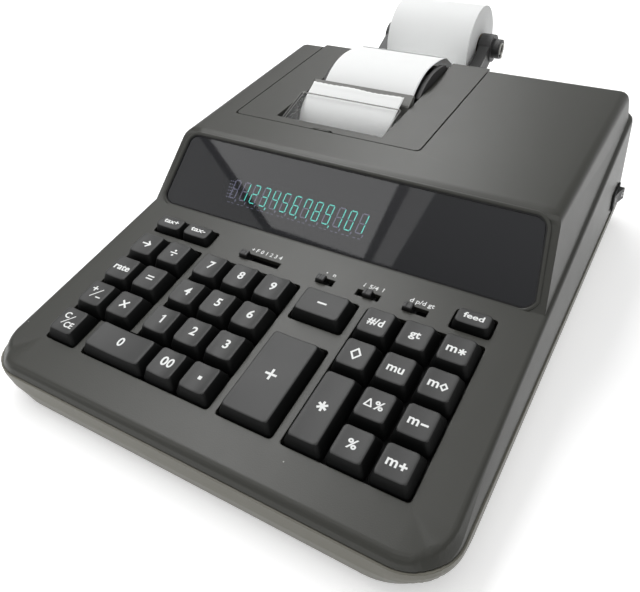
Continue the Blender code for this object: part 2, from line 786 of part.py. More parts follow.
def housing_half_width(y, z, inset):
    """Half width of the drafted housing at a point of its side outline."""
    height = max(0, (z - deck_height(y)) * math.cos(DECK_SLOPE))
    return HOUSING_HALF_WIDTH - inset - HOUSING_DRAFT_SHARE * height


def housing_body(panel_inset, wall_inset, rounding):
    """The raised housing as a drafted prism whose upper edges are rounded."""
    profile = housing_profile()
    if wall_inset:
        sides = (0, wall_inset, wall_inset, wall_inset, panel_inset, wall_inset)
        bare = [profile[index] for index in (0, 1, 3, 4, 5)]
        moved = offset_profile(bare, [sides[index] for index in (0, 1, 3, 4, 5)])
        rear = moved[1].x
        knee = Vector((rear, deck_height(rear)))
        profile = (moved[0], moved[1], knee, moved[2], moved[3], moved[4])
    rings = []
    for side in (-1, 1):
        rings.append([(side * housing_half_width(y, z, wall_inset), y, z) for y, z in profile])
    body = loft(rings)
    body.verts.ensure_lookup_table()
    for first in (0, len(profile)):
        ends = [body.verts[first + 2], body.verts[first + 5]]
        bmesh.ops.connect_vert_pair(body, verts=ends)
    if not rounding:
        bmesh.ops.triangulate(body, faces=body.faces)
        return body
    panel_foot = profile[5][1]
    soft = []
    for edge in body.edges:
        first, second = (vert.co for vert in edge.verts)
        level = min(first.z, second.z)
        on_side = first.x * second.x > 0
        behind_panel = max(first.y, second.y) > profile[4][0] + rounding
        if level > panel_foot and behind_panel:
            soft.append(edge)
        elif level > panel_foot and not on_side:
            soft.append(edge)
    bmesh.ops.bevel(
        body,
        geom=soft,
        offset=rounding,
        offset_type="OFFSET",
        segments=ARC_STEPS,
        profile=0.5,
        affect="EDGES",
        clamp_overlap=True,
        material=-1,
    )
    bmesh.ops.recalc_face_normals(body, faces=body.faces)
    return body


def pane_outline(margin):
    """The display window's outline on the panel, grown by a margin."""
    base = HOUSING_HALF_WIDTH - PANE_SIDE_BOTTOM
    crown = housing_half_width(PANEL_TOP_Y, PANEL_TOP_Z, 0) - PANE_SIDE_TOP
    corners = (
        (-base - margin, PANE_END - margin),
        (base + margin, PANE_END - margin),
        (crown + margin, PANEL_LENGTH - PANE_MARGIN + margin),
        (-crown - margin, PANEL_LENGTH - PANE_MARGIN + margin),
    )
    return rounded_polygon(corners, (PANE_RADIUS + margin,) * 4, ARC_STEPS)


def post_places():
    """Where the four case screws stand."""
    reach = HALF_WIDTH - POST_INSET
    return [(x, y) for x in (-reach, reach) for y in (POST_INSET, HOUSING_BACK_Y - POST_INSET)]


def cover_outline(margin):
    """The cover's outer outline on the housing top, grown by a margin."""
    corners = (
        (COVER_LEFT - margin, COVER_START - margin),
        (COVER_RIGHT + margin, COVER_START - margin),
        (COVER_RIGHT + margin, HOUSING_TOP_LENGTH + OVERRUN),
        (COVER_LEFT - margin, HOUSING_TOP_LENGTH + OVERRUN),
    )
    return rounded_polygon(corners, (COVER_RADIUS, COVER_RADIUS, 0, 0), ARC_STEPS)


def build_top_case(material):
    """The upper case: deck, raised housing, and every opening in them."""
    case = place("top_case", case_wedge(0, SEAM_Z), material)
    top_edges_round(case)
    join(case, housing_body(0, 0, HOUSING_EDGE_RADIUS))
    cut(case, case_wedge(WALL, SEAM_Z - OVERRUN))
    cut(case, housing_body(PANEL_WALL, WALL, 0))
    add_case_posts(case)
    add_cover_frame(case)
    cut_keyboard(case)
    cut_display(case)
    cut_cover_opening(case)
    cut_arm_slots(case)
    cut_switch_hole(case)
    smooth(case, math.radians(32))
    return case


def top_edges_round(case):
    """Round the rim where the deck meets the side walls."""
    body = bmesh.new()
    body.from_mesh(case.data)
    rim = []
    for edge in body.edges:
        steep = [abs(face.normal.z) < math.cos(math.radians(45)) for face in edge.link_faces]
        above = min(vert.co.z for vert in edge.verts) > SEAM_Z + CREST_RISE / 2
        if above and steep[0] != steep[1]:
            rim.append(edge)
    bmesh.ops.bevel(
        body,
        geom=rim,
        offset=RIM_RADIUS,
        offset_type="OFFSET",
        segments=3,
        profile=0.5,
        affect="EDGES",
        clamp_overlap=True,
        material=-1,
    )
    body.to_mesh(case.data)
    body.free()


def add_case_posts(case):
    """Screw posts down to the seam, and short posts that hold the key plate."""
    for x, y in post_places():
        roof = roof_height(y) - 2 * WALL if y > PANEL_TOP_Y else deck_height(y) - WALL / 2
        join(case, cylinder(POST_RADIUS, SEAM_Z, roof, SMALL_SEGMENTS), Matrix.Translation((x, y, 0)))
    spots = [
        (x, y)
        for x in (LEFT_BLOCK_X - KEY_PITCH_X / 2, RIGHT_BLOCK_X + 5 * KEY_PITCH_X / 2)
        for y in (FIRST_ROW - KEY_PITCH_Y / 2 - PLATE_MARGIN / 2,)
    ]
    spots.append((NUMBER_BLOCK_X + 2 * KEY_PITCH_X, LOW_ROW))
    for x, y in spots:
        post = cylinder(PLATE_POST_RADIUS, PLATE_TOP + GAP, -WALL / 2, SMALL_SEGMENTS)
        join(case, post, DECK @ Matrix.Translation((x, y, 0)))


def add_cover_frame(case):
    """The thick rim inside the housing top that the cover and its pins rest in."""
    left = COVER_LEFT - COVER_SEAM - COVER_FRAME_WIDTH
    right = COVER_RIGHT + COVER_SEAM + COVER_FRAME_WIDTH
    front = COVER_START - COVER_SEAM - COVER_FRAME_WIDTH
    back = HOUSING_TOP_LENGTH - WALL / 2
    join(case, box(left, right, front, back, -COVER_FRAME_DEPTH, -WALL / 2), TOP)
    deep = COVER_PIVOT_DROP + COVER_BARREL_RADIUS + COVER_LIP
    boss_front = back - COVER_BOSS_LENGTH
    for side, inner in ((left, COVER_LEFT + COVER_LEDGE), (right, COVER_RIGHT - COVER_LEDGE)):
        boss = box(min(side, inner), max(side, inner), boss_front, back, -deep, -COVER_FRAME_DEPTH / 2)
        join(case, boss, TOP)


def cut_keyboard(case):
    """Key wells and slide switch slots through the deck."""
    for left, right, front, back in well_table():
        well = prism(
            rounded_rectangle(left, right, front, back, WELL_RADIUS, KEY_STEPS),
            -WALL - OVERRUN / 2,
            OVERRUN,
        )
        cut(case, well, DECK)
    front = SLOT_ROW - SLOT_DEPTH / 2
    back = SLOT_ROW + SLOT_DEPTH / 2
    for start, end in slot_spans().values():
        slot = box(start, end, front, back, -WALL - OVERRUN / 4, OVERRUN)
        cut(case, slot, DECK)


def cut_display(case):
    """The recess for the display window and the aperture in front of the tube."""
    recess = PANE_SINK + PANE_THICKNESS + GAP
    cut(case, prism(pane_outline(PANE_REVEAL), -recess, OVERRUN), PANEL)
    half_x = TUBE_WIDTH / 2 - TUBE_BEZEL
    half_y = TUBE_HEIGHT / 2 - TUBE_BEZEL / 2
    low = TUBE_CENTRE - half_y
    high = TUBE_CENTRE + half_y
    cut(case, box(TUBE_X - half_x, TUBE_X + half_x, low, high, -PANEL_WALL - OVERRUN, 0), PANEL)


def cut_cover_opening(case):
    """The seat of the cover, the hole inside its ledge, and room for its rear lips."""
    seat = COVER_THICKNESS + GAP
    cut(case, prism(cover_outline(COVER_SEAM), -seat, OVERRUN), TOP)
    hole = box(
        COVER_LEFT + COVER_LEDGE,
        COVER_RIGHT - COVER_LEDGE,
        COVER_START + COVER_LEDGE,
        HOUSING_TOP_LENGTH - WALL - COVER_LIP,
        -COVER_FRAME_DEPTH - OVERRUN,
        OVERRUN,
    )
    cut(case, hole, TOP)
    deep = COVER_PIVOT_DROP + COVER_LIP + GAP
    for left, right in (
        (COVER_LEFT - COVER_SEAM, NOTCH_LEFT + COVER_SEAM),
        (NOTCH_RIGHT - COVER_SEAM, COVER_RIGHT + COVER_SEAM),
    ):
        room = box(
            left,
            right,
            HOUSING_TOP_LENGTH - COVER_LIP_ROOM - COVER_BARREL_RADIUS,
            HOUSING_TOP_LENGTH + OVERRUN,
            -deep,
            0,
        )
        cut(case, room, TOP)
    pin = cylinder(COVER_PIN_RADIUS + GAP, COVER_LEFT - COVER_FRAME_WIDTH + COVER_SEAM, 0, SMALL_SEGMENTS)
    cut(case, pin, cover_pivot() @ ALONG_X)
    pin = cylinder(COVER_PIN_RADIUS + GAP, 0, COVER_RIGHT + COVER_FRAME_WIDTH - COVER_SEAM, SMALL_SEGMENTS)
    cut(case, pin, cover_pivot() @ ALONG_X)


def cover_pivot():
    """The hinge axis of the cover, near the foot of its rear lips."""
    return TOP @ Matrix.Translation((0, HOUSING_TOP_LENGTH - COVER_LIP, -COVER_PIVOT_DROP))


def arm_inner_x(side):
    """Inner face of a roll arm, beside the roll's end."""
    return PAPER_X + side * (PAPER_WIDTH / 2 + ARM_SIDE_PLAY)


def cut_arm_slots(case):
    """Slots in the rear wall that take the roll arms' tongues."""
    for side in (-1, 1):
        middle = arm_inner_x(side) + side * ARM_THICKNESS / 2
        half = ARM_TONGUE_WIDTH / 2 + GAP
        tall = ARM_TONGUE_HEIGHT / 2 + GAP
        slot = box(
            middle - half,
            middle + half,
            HOUSING_BACK_Y - WALL - OVERRUN,
            CASE_DEPTH + OVERRUN,
            ARM_ROOT_Z - tall,
            ARM_ROOT_Z + tall,
        )
        cut(case, slot)


def switch_frame():
    """The power switch's own frame: Z outwards from the side wall, X to the back."""
    turn = Matrix.Rotation(-SWITCH_DRAFT, 4, "Y")
    return Matrix.Translation((SWITCH_X, SWITCH_Y, SWITCH_Z)) @ turn @ SIDEWAYS


def cut_switch_hole(case):
    """The hole in the right wall behind the power switch's plate."""
    half_x = SWITCH_PLATE_LENGTH / 2 - SWITCH_PLATE_RIM / 2
    half_y = SWITCH_PLATE_WIDTH / 2 - SWITCH_PLATE_RIM / 2
    hole = box(-half_x, half_x, -half_y, half_y, -SWITCH_BODY_DEPTH, OVERRUN)
    cut(case, hole, switch_frame())


def build_base_case(material):
    """The lower tray with its screw posts and the circuit board's standoffs."""

    def outline(inset):
        return rounded_rectangle(
            inset - HALF_WIDTH, HALF_WIDTH - inset, inset, CASE_DEPTH - inset, CORNER_RADIUS, ARC_STEPS
        )

    floor = BASE_BOTTOM + BASE_FLOOR
    tray = place(
        "base_case",
        loft(
            (
                level_ring(outline(WALL), floor),
                level_ring(outline(WALL), SEAM_Z - GAP),
                level_ring(outline(0), SEAM_Z - GAP),
                level_ring(outline(0), SEAM_Z - BASE_HEIGHT / 2),
                level_ring(outline(BASE_TAPER), BASE_BOTTOM),
            )
        ),
        material,
    )
    for x, y in post_places():
        post = cylinder(POST_RADIUS, floor - BASE_FLOOR / 2, SEAM_Z - GAP, SMALL_SEGMENTS)
        join(tray, post, Matrix.Translation((x, y, 0)))
    for x in (-1, 1):
        for y in (STANDOFF_INSET, BOARD_LENGTH - STANDOFF_INSET):
            spot = (x * (BOARD_WIDTH / 2 - STANDOFF_INSET), BOARD_FRONT + y, 0)
            post = cylinder(STANDOFF_RADIUS, floor - BASE_FLOOR / 2, floor + BOARD_CLEARANCE, SMALL_SEGMENTS)
            join(tray, post, Matrix.Translation(spot))
    smooth(tray, math.radians(32))
    return tray


def build_feet(material):
    """Four rubber feet under the tray."""
    reach = HALF_WIDTH - FOOT_INSET
    spots = {
        "foot_front_left": (-reach, FOOT_INSET),
        "foot_front_right": (reach, FOOT_INSET),
        "foot_rear_left": (-reach, CASE_DEPTH - FOOT_INSET),
        "foot_rear_right": (reach, CASE_DEPTH - FOOT_INSET),
    }
    profile = (
        (0, 0),
        (FOOT_RADIUS - FOOT_CHAMFER, 0),
        (FOOT_RADIUS, FOOT_CHAMFER),
        (FOOT_RADIUS, FOOT_HEIGHT - GAP),
        (0, FOOT_HEIGHT - GAP),
    )
    feet = []
    for name, (x, y) in spots.items():
        foot = place(name, turned(profile, 2 * SMALL_SEGMENTS), material, Matrix.Translation((x, y, 0)))
        smooth(foot, math.radians(40))
        feet.append(foot)
    return feet


def build_window(material):
    """The smoked window over the display."""
    pane = prism(pane_outline(0), -PANE_SINK - PANE_THICKNESS, -PANE_SINK)
    return place("display_window", pane, material, PANEL)


def build_tube(material):
    """The flat glass display tube behind the aperture."""
    half_x = TUBE_WIDTH / 2
    half_y = TUBE_HEIGHT / 2
    back = -PANEL_WALL - GAP - TUBE_THICKNESS
    front = -PANEL_WALL - GAP
    outline = rounded_rectangle(-half_x, half_x, -half_y, half_y, TUBE_EDGE, KEY_STEPS)
    spot = PANEL @ Matrix.Translation((TUBE_X, TUBE_CENTRE, 0))
    return place("display_tube", prism(outline, back, front), material, spot)


def cover_barrel(tip, shoulder, inner):
    """The hinge barrel of one cover leg with its pin, from the pin's tip inwards."""
    profile = (
        (0, tip),
        (COVER_PIN_RADIUS, tip),
        (COVER_PIN_RADIUS, shoulder),
        (COVER_BARREL_RADIUS, shoulder),
        (COVER_BARREL_RADIUS, inner),
        (0, inner),
    )
    return turned(profile, SMALL_SEGMENTS)


def build_cover(material):
    """The hinged printer cover, a plate with a notch for the paper and two rear lips."""
    middle = PAPER_X
    end = HOUSING_TOP_LENGTH
    half = FINGER_WIDTH / 2
    corners = (
        (COVER_LEFT, COVER_START),
        (middle - half - FINGER_DEPTH, COVER_START),
        (middle - half, COVER_START + FINGER_DEPTH),
        (middle + half, COVER_START + FINGER_DEPTH),
        (middle + half + FINGER_DEPTH, COVER_START),
        (COVER_RIGHT, COVER_START),
        (COVER_RIGHT, end),
        (NOTCH_RIGHT, end),
        (NOTCH_RIGHT, NOTCH_START),
        (NOTCH_LEFT, NOTCH_START),
        (NOTCH_LEFT, end),
        (COVER_LEFT, end),
    )
    radii = (
        COVER_RADIUS,
        FINGER_RADIUS,
        FINGER_RADIUS,
        FINGER_RADIUS,
        FINGER_RADIUS,
        COVER_RADIUS,
        0,
        0,
        FINGER_RADIUS,
        FINGER_RADIUS,
        0,
        0,
    )
    pivot = cover_pivot()
    sheet = prism(rounded_polygon(corners, radii, KEY_STEPS), -COVER_THICKNESS, 0)
    cover = place("printer_cover", sheet, material, TOP)
    axis = end - COVER_LIP
    for outer, inner, side in ((COVER_LEFT, NOTCH_LEFT, -1), (COVER_RIGHT, NOTCH_RIGHT, 1)):
        left, right = sorted((outer - side * GAP, inner + side * GAP))
        join(cover, box(left, right, axis, end - GAP, -COVER_PIVOT_DROP, -COVER_THICKNESS / 2), TOP)
        barrel = cover_barrel(outer + side * COVER_PIN_LENGTH, outer - 2 * side * GAP, inner + 2 * side * GAP)
        join(cover, barrel, pivot @ ALONG_X)
    shift = pivot.inverted() @ cover.matrix_world
    cover.data.transform(shift)
    cover.matrix_world = pivot
    smooth(cover, math.radians(32))
    return cover


def build_tear_window(material):
    """The clear tear-off window with its toothed rear edge and shallow side walls."""
    left = NOTCH_LEFT + TEAR_MARGIN
    right = NOTCH_RIGHT - TEAR_MARGIN
    top = -COVER_THICKNESS - GAP
    slope = math.tan(TEAR_ANGLE)
    start = NOTCH_START + TEAR_FLAT

    def height(along):
        return top + max(0, along - start) * slope

    teeth = round((right - left) / TEAR_TOOTH_PITCH)
    pitch = (right - left) / teeth
    end = start + TEAR_LENGTH
    outline = [(left, NOTCH_START - TEAR_FLANGE), (right, NOTCH_START - TEAR_FLANGE), (right, start)]
    for tooth in range(teeth):
        outline.append((right - tooth * pitch, end - TEAR_TOOTH_DEPTH))
        outline.append((right - tooth * pitch - pitch / 2, end))
    outline.append((left, end - TEAR_TOOTH_DEPTH))
    outline.append((left, start))
    lower = [(x, y, height(y) - TEAR_THICKNESS) for x, y in outline]
    upper = [(x, y, height(y)) for x, y in outline]
    body = bmesh.new()
    ring_low = [body.verts.new(point) for point in lower]
    ring_high = [body.verts.new(point) for point in upper]
    count = len(outline)
    for index in range(count):
        following = (index + 1) % count
        body.faces.new((ring_low[index], ring_low[following], ring_high[following], ring_high[index]))
    for ring in (ring_low, ring_high):
        body.faces.new((ring[0], ring[1], ring[2], ring[count - 1]))
        body.faces.new(ring[2:])
    bmesh.ops.recalc_face_normals(body, faces=body.faces)
    window = place("tear_window", body, material, TOP)
    stop = end - 2 * TEAR_TOOTH_DEPTH
    for near in (left, right - TEAR_THICKNESS):
        fin = loft(
            (
                [
                    (near, start, height(start) - TEAR_THICKNESS / 2),
                    (near, start, height(start) - TEAR_THICKNESS - TEAR_WALL_HEIGHT),
                    (near, stop, height(stop) - TEAR_THICKNESS - TEAR_WALL_HEIGHT),
                    (near, stop, height(stop) - TEAR_THICKNESS / 2),
                ],
                [
                    (near + TEAR_THICKNESS, start, height(start) - TEAR_THICKNESS / 2),
                    (near + TEAR_THICKNESS, start, height(start) - TEAR_THICKNESS - TEAR_WALL_HEIGHT),
                    (near + TEAR_THICKNESS, stop, height(stop) - TEAR_THICKNESS - TEAR_WALL_HEIGHT),
                    (near + TEAR_THICKNESS, stop, height(stop) - TEAR_THICKNESS / 2),
                ],
            )
        )
        join(window, fin, TOP)
    return window


def bezier(start, lead, approach, end, steps):
    """Points of a cubic curve, without its last point."""
    points = []
    for step in range(steps):
        share = step / steps
        rest = 1 - share
        points.append(
            start * rest**3 + lead * 3 * rest**2 * share + approach * 3 * rest * share**2 + end * share**3
        )
    return points


def paper_path():
    """Middle line of the paper in (y, z), from the roll's underside to the torn edge."""
    edge = Vector((HOUSING_BACK_Y + WALL / 2, HOUSING_BACK_Z + WEB_EDGE_RISE))
    roll = Vector((ROLL_Y, ROLL_Z))
    surface = ROLL_RADIUS + GAP + PAPER_THICKNESS
    span = roll - edge
    heading = math.atan2(span.y, span.x) - math.asin(surface / span.length)
    away = Vector((math.cos(heading), math.sin(heading)))
    tangent = edge + away * math.sqrt(span.length**2 - surface**2)
    crest = Vector((GUIDE_Y, GUIDE_Z + GUIDE_RADIUS + WEB_LIFT))
    wrap = PLATEN_RADIUS + GAP + PAPER_THICKNESS / 2
    platen = Vector((PLATEN_Y, PLATEN_Z))
    rear = platen + Vector((wrap, 0))
    front = platen - Vector((wrap, 0))
    slip = front + Vector((2 * SLIP_REACH, SLIP_RISE))
    fall = crest.y - rear.y
    points = [tangent]
    points += bezier(edge, edge - away * WEB_LEAD, crest + Vector((WEB_LEAD, 0)), crest, CURVE_STEPS)
    dive = crest - Vector((WEB_DIVE, 0))
    points += bezier(crest, dive, rear + Vector((0, fall * WEB_FALL_SHARE)), rear, CURVE_STEPS)
    for step in range(ROUND_SEGMENTS // 2):
        angle = -math.pi * step / (ROUND_SEGMENTS // 2)
        points.append(platen + Vector((math.cos(angle), math.sin(angle))) * wrap)
    lead = front + Vector((0, SLIP_RISE * SLIP_LEAD_SHARE))
    approach = slip - Vector((SLIP_REACH * SLIP_TURN_SHARES[0], SLIP_RISE * SLIP_TURN_SHARES[1]))
    points += bezier(front, lead, approach, slip, CURVE_STEPS)
    points.append(slip)
    return points


def build_paper(material):
    """The strip of paper as one thin band along its path."""
    path = paper_path()
    half = PAPER_THICKNESS / 2
    near = []
    far = []
    for index, point in enumerate(path):
        before = path[max(0, index - 1)]
        after = path[min(len(path) - 1, index + 1)]
        along = (after - before).normalized()
        side = Vector((-along.y, along.x)) * half
        near.append(point + side)
        far.append(point - side)
    left = PAPER_X - PAPER_WIDTH / 2
    right = PAPER_X + PAPER_WIDTH / 2
    rings = []
    for one, other in zip(near, far):
        rings.append(
            [(left, one.x, one.y), (right, one.x, one.y), (right, other.x, other.y), (left, other.x, other.y)]
        )
    strip = place("paper_strip", loft(rings), material)
    smooth(strip, math.radians(50))
    return strip


def build_roll(material):
    """The paper roll, wound round its bored core."""
    half = PAPER_WIDTH / 2
    body = bmesh.new()
    profile = ((ROLL_BORE, -half), (ROLL_RADIUS, -half), (ROLL_RADIUS, half), (ROLL_BORE, half))
    points = [body.verts.new((0, radius, height)) for radius, height in profile]
    face = body.faces.new(points)
    bmesh.ops.spin(
        body,
        geom=list(face.edges) + points,
        cent=(0, 0, 0),
        axis=(0, 0, 1),
        angle=math.tau,
        steps=2 * ROUND_SEGMENTS,
        use_merge=True,
    )
    bmesh.ops.delete(body, geom=[face], context="FACES_ONLY")
    bmesh.ops.remove_doubles(body, verts=body.verts, dist=0.00001)
    bmesh.ops.recalc_face_normals(body, faces=body.faces)
    spot = Matrix.Translation((PAPER_X, ROLL_Y, ROLL_Z)) @ ALONG_X
    roll = place("paper_roll", body, material, spot)
    smooth(roll, math.radians(40))
    return roll


def build_arms(material):
    """Two arms plugged into the rear wall, whose pins carry the roll; the right one has a boss."""
    arms = []
    for name, side in (("roll_arm_left", -1), ("roll_arm_right", 1)):
        inner = arm_inner_x(side)
        outer = inner + side * ARM_THICKNESS
        low, high = sorted((inner, outer))
        root_y = CASE_DEPTH + GAP
        rise = ROLL_Z - ARM_ROOT_Z
        run = ROLL_Y - root_y
        lean = math.atan2(rise, run)
        half = ARM_WIDTH / 2
        hub = Vector((ROLL_Y, ROLL_Z))
        foot_half = half / math.cos(lean)
        turns = ROUND_SEGMENTS // 2
        outline = [Vector((root_y, ARM_ROOT_Z - foot_half))]
        for step in range(turns + 1):
            angle = lean - math.pi / 2 + math.pi * step / turns
            outline.append(hub + Vector((math.cos(angle), math.sin(angle))) * half)
        outline.append(Vector((root_y, ARM_ROOT_Z + foot_half)))
        arm = place(name, prism(outline, low, high), material, SIDEWAYS)
        hub_spot = Matrix.Translation((0, ROLL_Y, ROLL_Z)) @ ALONG_X
        tip = inner - side * (ARM_SIDE_PLAY + ARM_PIN_LENGTH)
        near = inner - side * ARM_SIDE_PLAY / 2
        far = outer + side * ARM_EDGE
        pin = ROLL_BORE - 2 * GAP
        profile = [(0, tip), (pin, tip), (pin, near), (ARM_HUB_RADIUS, near), (ARM_HUB_RADIUS, far)]
        if side > 0:
            end = outer + ARM_BOSS_LENGTH
            profile += [(ARM_BOSS_RADIUS, far), (ARM_BOSS_RADIUS, end), (0, end)]
        else:
            profile.append((0, far))
        join(arm, turned(profile, 2 * SMALL_SEGMENTS), hub_spot)
        middle = (inner + outer) / 2
        tongue = box(
            middle - ARM_TONGUE_WIDTH / 2,
            middle + ARM_TONGUE_WIDTH / 2,
            root_y - ARM_TONGUE_LENGTH,
            root_y + ARM_EDGE,
            ARM_ROOT_Z - ARM_TONGUE_HEIGHT / 2,
            ARM_ROOT_Z + ARM_TONGUE_HEIGHT / 2,
        )
        join(arm, tongue)
        smooth(arm, math.radians(35))
        arms.append(arm)
    return arms


def frame_sides():
    """Inner faces of the printer frame's side plates."""
    return NOTCH_LEFT - FRAME_PLATE / 2, NOTCH_RIGHT + FRAME_PLATE / 2


def build_printer_frame(material):
    """Two side plates joined by a floor, a rail, a crossbar and the curved paper guide."""
    left, right = frame_sides()
    floor = BASE_BOTTOM + BASE_FLOOR + GAP
    nose = PLATEN_Y - FRAME_NOSE
    tail = HOUSING_BACK_Y - WALL - COVER_LIP - COVER_BARREL_RADIUS - COVER_BOSS_LENGTH
    crown = PLATEN_Z + FRAME_TOP_RISE
    outline = rounded_polygon(
        (
            (nose, floor),
            (tail, floor),
            (tail, crown),
            (PLATEN_Y - PLATEN_RADIUS, crown),
            (nose, floor + FRAME_NOSE_HEIGHT),
        ),
        (0, 0, FRAME_CORNER, FRAME_CORNER, FRAME_CORNER),
        ARC_STEPS,
    )
    frame = place("printer_frame", prism(outline, left - FRAME_PLATE, left), material, SIDEWAYS)
    bridge = FRAME_PLATE / 2
    join(frame, box(left - bridge, right + bridge, nose, tail, floor, floor + FRAME_PLATE))
    join(frame, prism(outline, right, right + FRAME_PLATE), SIDEWAYS)
    rail = cylinder(RAIL_RADIUS, left - bridge, right + bridge, SMALL_SEGMENTS)
    join(frame, rail, Matrix.Translation((0, PLATEN_Y - RAIL_REACH, PLATEN_Z - RAIL_DROP)) @ ALONG_X)
    bar_low = crown - FRAME_CORNER - CROSSBAR_HEIGHT
    bar_top = bar_low + CROSSBAR_HEIGHT
    join(
        frame,
        box(
            left - bridge,
            right + bridge,
            GUIDE_Y - CROSSBAR_DEPTH / 2,
            GUIDE_Y + CROSSBAR_DEPTH / 2,
            bar_low,
            bar_top,
        ),
    )
    arc = []
    start = math.asin((bar_top - GUIDE_SEAT - GUIDE_Z) / GUIDE_RADIUS)
    for step in range(ROUND_SEGMENTS // 2 + 1):
        angle = start + (math.pi - 2 * start) * step / (ROUND_SEGMENTS // 2)
        arc.append((GUIDE_Y + GUIDE_RADIUS * math.cos(angle), GUIDE_Z + GUIDE_RADIUS * math.sin(angle)))
    guide = prism(arc, NOTCH_LEFT + GUIDE_MARGIN, NOTCH_RIGHT - GUIDE_MARGIN)
    join(frame, guide, SIDEWAYS)
    bearing = cylinder(
        PLATEN_SHAFT_RADIUS + GAP, left - 2 * FRAME_PLATE, right + 2 * FRAME_PLATE, 2 * SMALL_SEGMENTS
    )
    cut(frame, bearing, Matrix.Translation((0, PLATEN_Y, PLATEN_Z)) @ ALONG_X)
    smooth(frame, math.radians(32))
    return frame


def build_platen(material):
    """The rubber feed roller on its shaft."""
    left, right = frame_sides()
    half = (right - left) / 2
    shaft = half + FRAME_PLATE + FRAME_PLATE / 2
    body_half = PAPER_WIDTH / 2 + FRAME_PLATE / 2
    profile = (
        (0, -shaft),
        (PLATEN_SHAFT_RADIUS, -shaft),
        (PLATEN_SHAFT_RADIUS, -body_half),
        (PLATEN_RADIUS - PLATEN_EDGE, -body_half),
        (PLATEN_RADIUS, PLATEN_EDGE - body_half),
        (PLATEN_RADIUS, body_half - PLATEN_EDGE),
        (PLATEN_RADIUS - PLATEN_EDGE, body_half),
        (PLATEN_SHAFT_RADIUS, body_half),
        (PLATEN_SHAFT_RADIUS, shaft),
        (0, shaft),
    )
    spot = Matrix.Translation((PAPER_X, PLATEN_Y, PLATEN_Z)) @ ALONG_X
    platen = place("platen_roller", turned(profile, ROUND_SEGMENTS), material, spot)
    smooth(platen, math.radians(35))
    return platen


def head_x():
    """Where the print head stands along its rail."""
    left, right = frame_sides()
    room = right - left - HEAD_WIDTH
    return left + HEAD_WIDTH / 2 + HEAD_PLACE_SHARE * room


def build_print_head(material):
    """The print head on its rail, its nose just off the paper."""
    rail_y = PLATEN_Y - RAIL_REACH
    rail_z = PLATEN_Z - RAIL_DROP
    half = HEAD_WIDTH / 2
    spot = Matrix.Translation((head_x(), rail_y, rail_z))
    head = place(
        "print_head",
        box(-half, half, -HEAD_DEPTH / 2, HEAD_DEPTH / 2, -HEAD_HEIGHT / 2, HEAD_HEIGHT / 2),
        material,
        spot,
    )
    nose_end = RAIL_REACH - PLATEN_RADIUS - 2 * GAP - PAPER_THICKNESS
    tall = HEAD_NOSE_HEIGHT / 2
    join(head, box(-half / 2, half / 2, 0, nose_end, RAIL_DROP - tall, RAIL_DROP + tall), spot)
    bore = cylinder(RAIL_RADIUS + GAP, -HEAD_WIDTH, HEAD_WIDTH, SMALL_SEGMENTS)
    cut(head, bore, spot @ ALONG_X)
    return head


def build_board(material):
    """The main circuit board with its tallest components standing on it."""
    low = BASE_BOTTOM + BASE_FLOOR + BOARD_CLEARANCE + GAP
    half = BOARD_WIDTH / 2
    top = low + BOARD_THICKNESS
    board = place(
        "circuit_board", box(-half, half, BOARD_FRONT, BOARD_FRONT + BOARD_LENGTH, low, top), material
    )
    for x_share, y_share, width_share, length_share, height_share in PARTS_ON_BOARD_SHARES:
        x = (x_share - 0.5) * BOARD_WIDTH
        y = BOARD_FRONT + y_share * BOARD_LENGTH
        width = width_share * BOARD_WIDTH / 2
        length = length_share * BOARD_LENGTH / 2
        block = box(
            x - width,
            x + width,
            y - length,
            y + length,
            low + BOARD_THICKNESS / 2,
            top + height_share * BOARD_PART_HEIGHT,
        )
        join(board, block)
    return board


def build_switch(plate_material, rocker_material):
    """The power switch: a plate with its body in the wall, and the rocker in it."""
    spot = switch_frame()
    half_x = SWITCH_PLATE_LENGTH / 2
    half_y = SWITCH_PLATE_WIDTH / 2
    plate = place(
        "switch_plate",
        prism(
            rounded_rectangle(-half_x, half_x, -half_y, half_y, SWITCH_PLATE_RADIUS, KEY_STEPS),
            GAP,
            SWITCH_PLATE_RISE,
        ),
        plate_material,
        spot,
    )
    body_x = half_x - SWITCH_PLATE_RIM / 2 - GAP
    body_y = half_y - SWITCH_PLATE_RIM / 2 - GAP
    join(plate, box(-body_x, body_x, -body_y, body_y, -SWITCH_BODY_DEPTH, SWITCH_PLATE_RISE / 2), spot)
    well_x = half_x - SWITCH_PLATE_RIM
    well_y = half_y - SWITCH_PLATE_RIM
    pocket = SWITCH_BODY_DEPTH - SWITCH_PLATE_RIM
    cut(plate, box(-well_x, well_x, -well_y, well_y, -pocket, OVERRUN), spot)
    ends = []
    for side in (-1, 1):
        for step in range(KEY_STEPS + 1):
            angle = side * (SWITCH_TILT - (SWITCH_TILT + SWITCH_SKIRT) * step / KEY_STEPS)
            reach = side * ROCKER_RADIUS
            ends.append(Vector((reach * math.cos(angle), reach * math.sin(angle))))
    outline = ends[: KEY_STEPS + 1] + [Vector((0, -SWITCH_ROCKER_DEPTH))]
    outline += reversed(ends[KEY_STEPS + 1 :])
    outline.append(Vector((0, SWITCH_CROWN)))
    rocker = place(
        "power_switch",
        prism(outline, -SWITCH_HALF, SWITCH_HALF),
        rocker_material,
        spot
        @ Matrix.Translation((0, 0, SWITCH_PLATE_RISE))
        @ Matrix.Rotation(math.pi / 2, 4, "X")
        @ Matrix.Rotation(SWITCH_TILT, 4, "Z"),
    )
    return plate, rocker


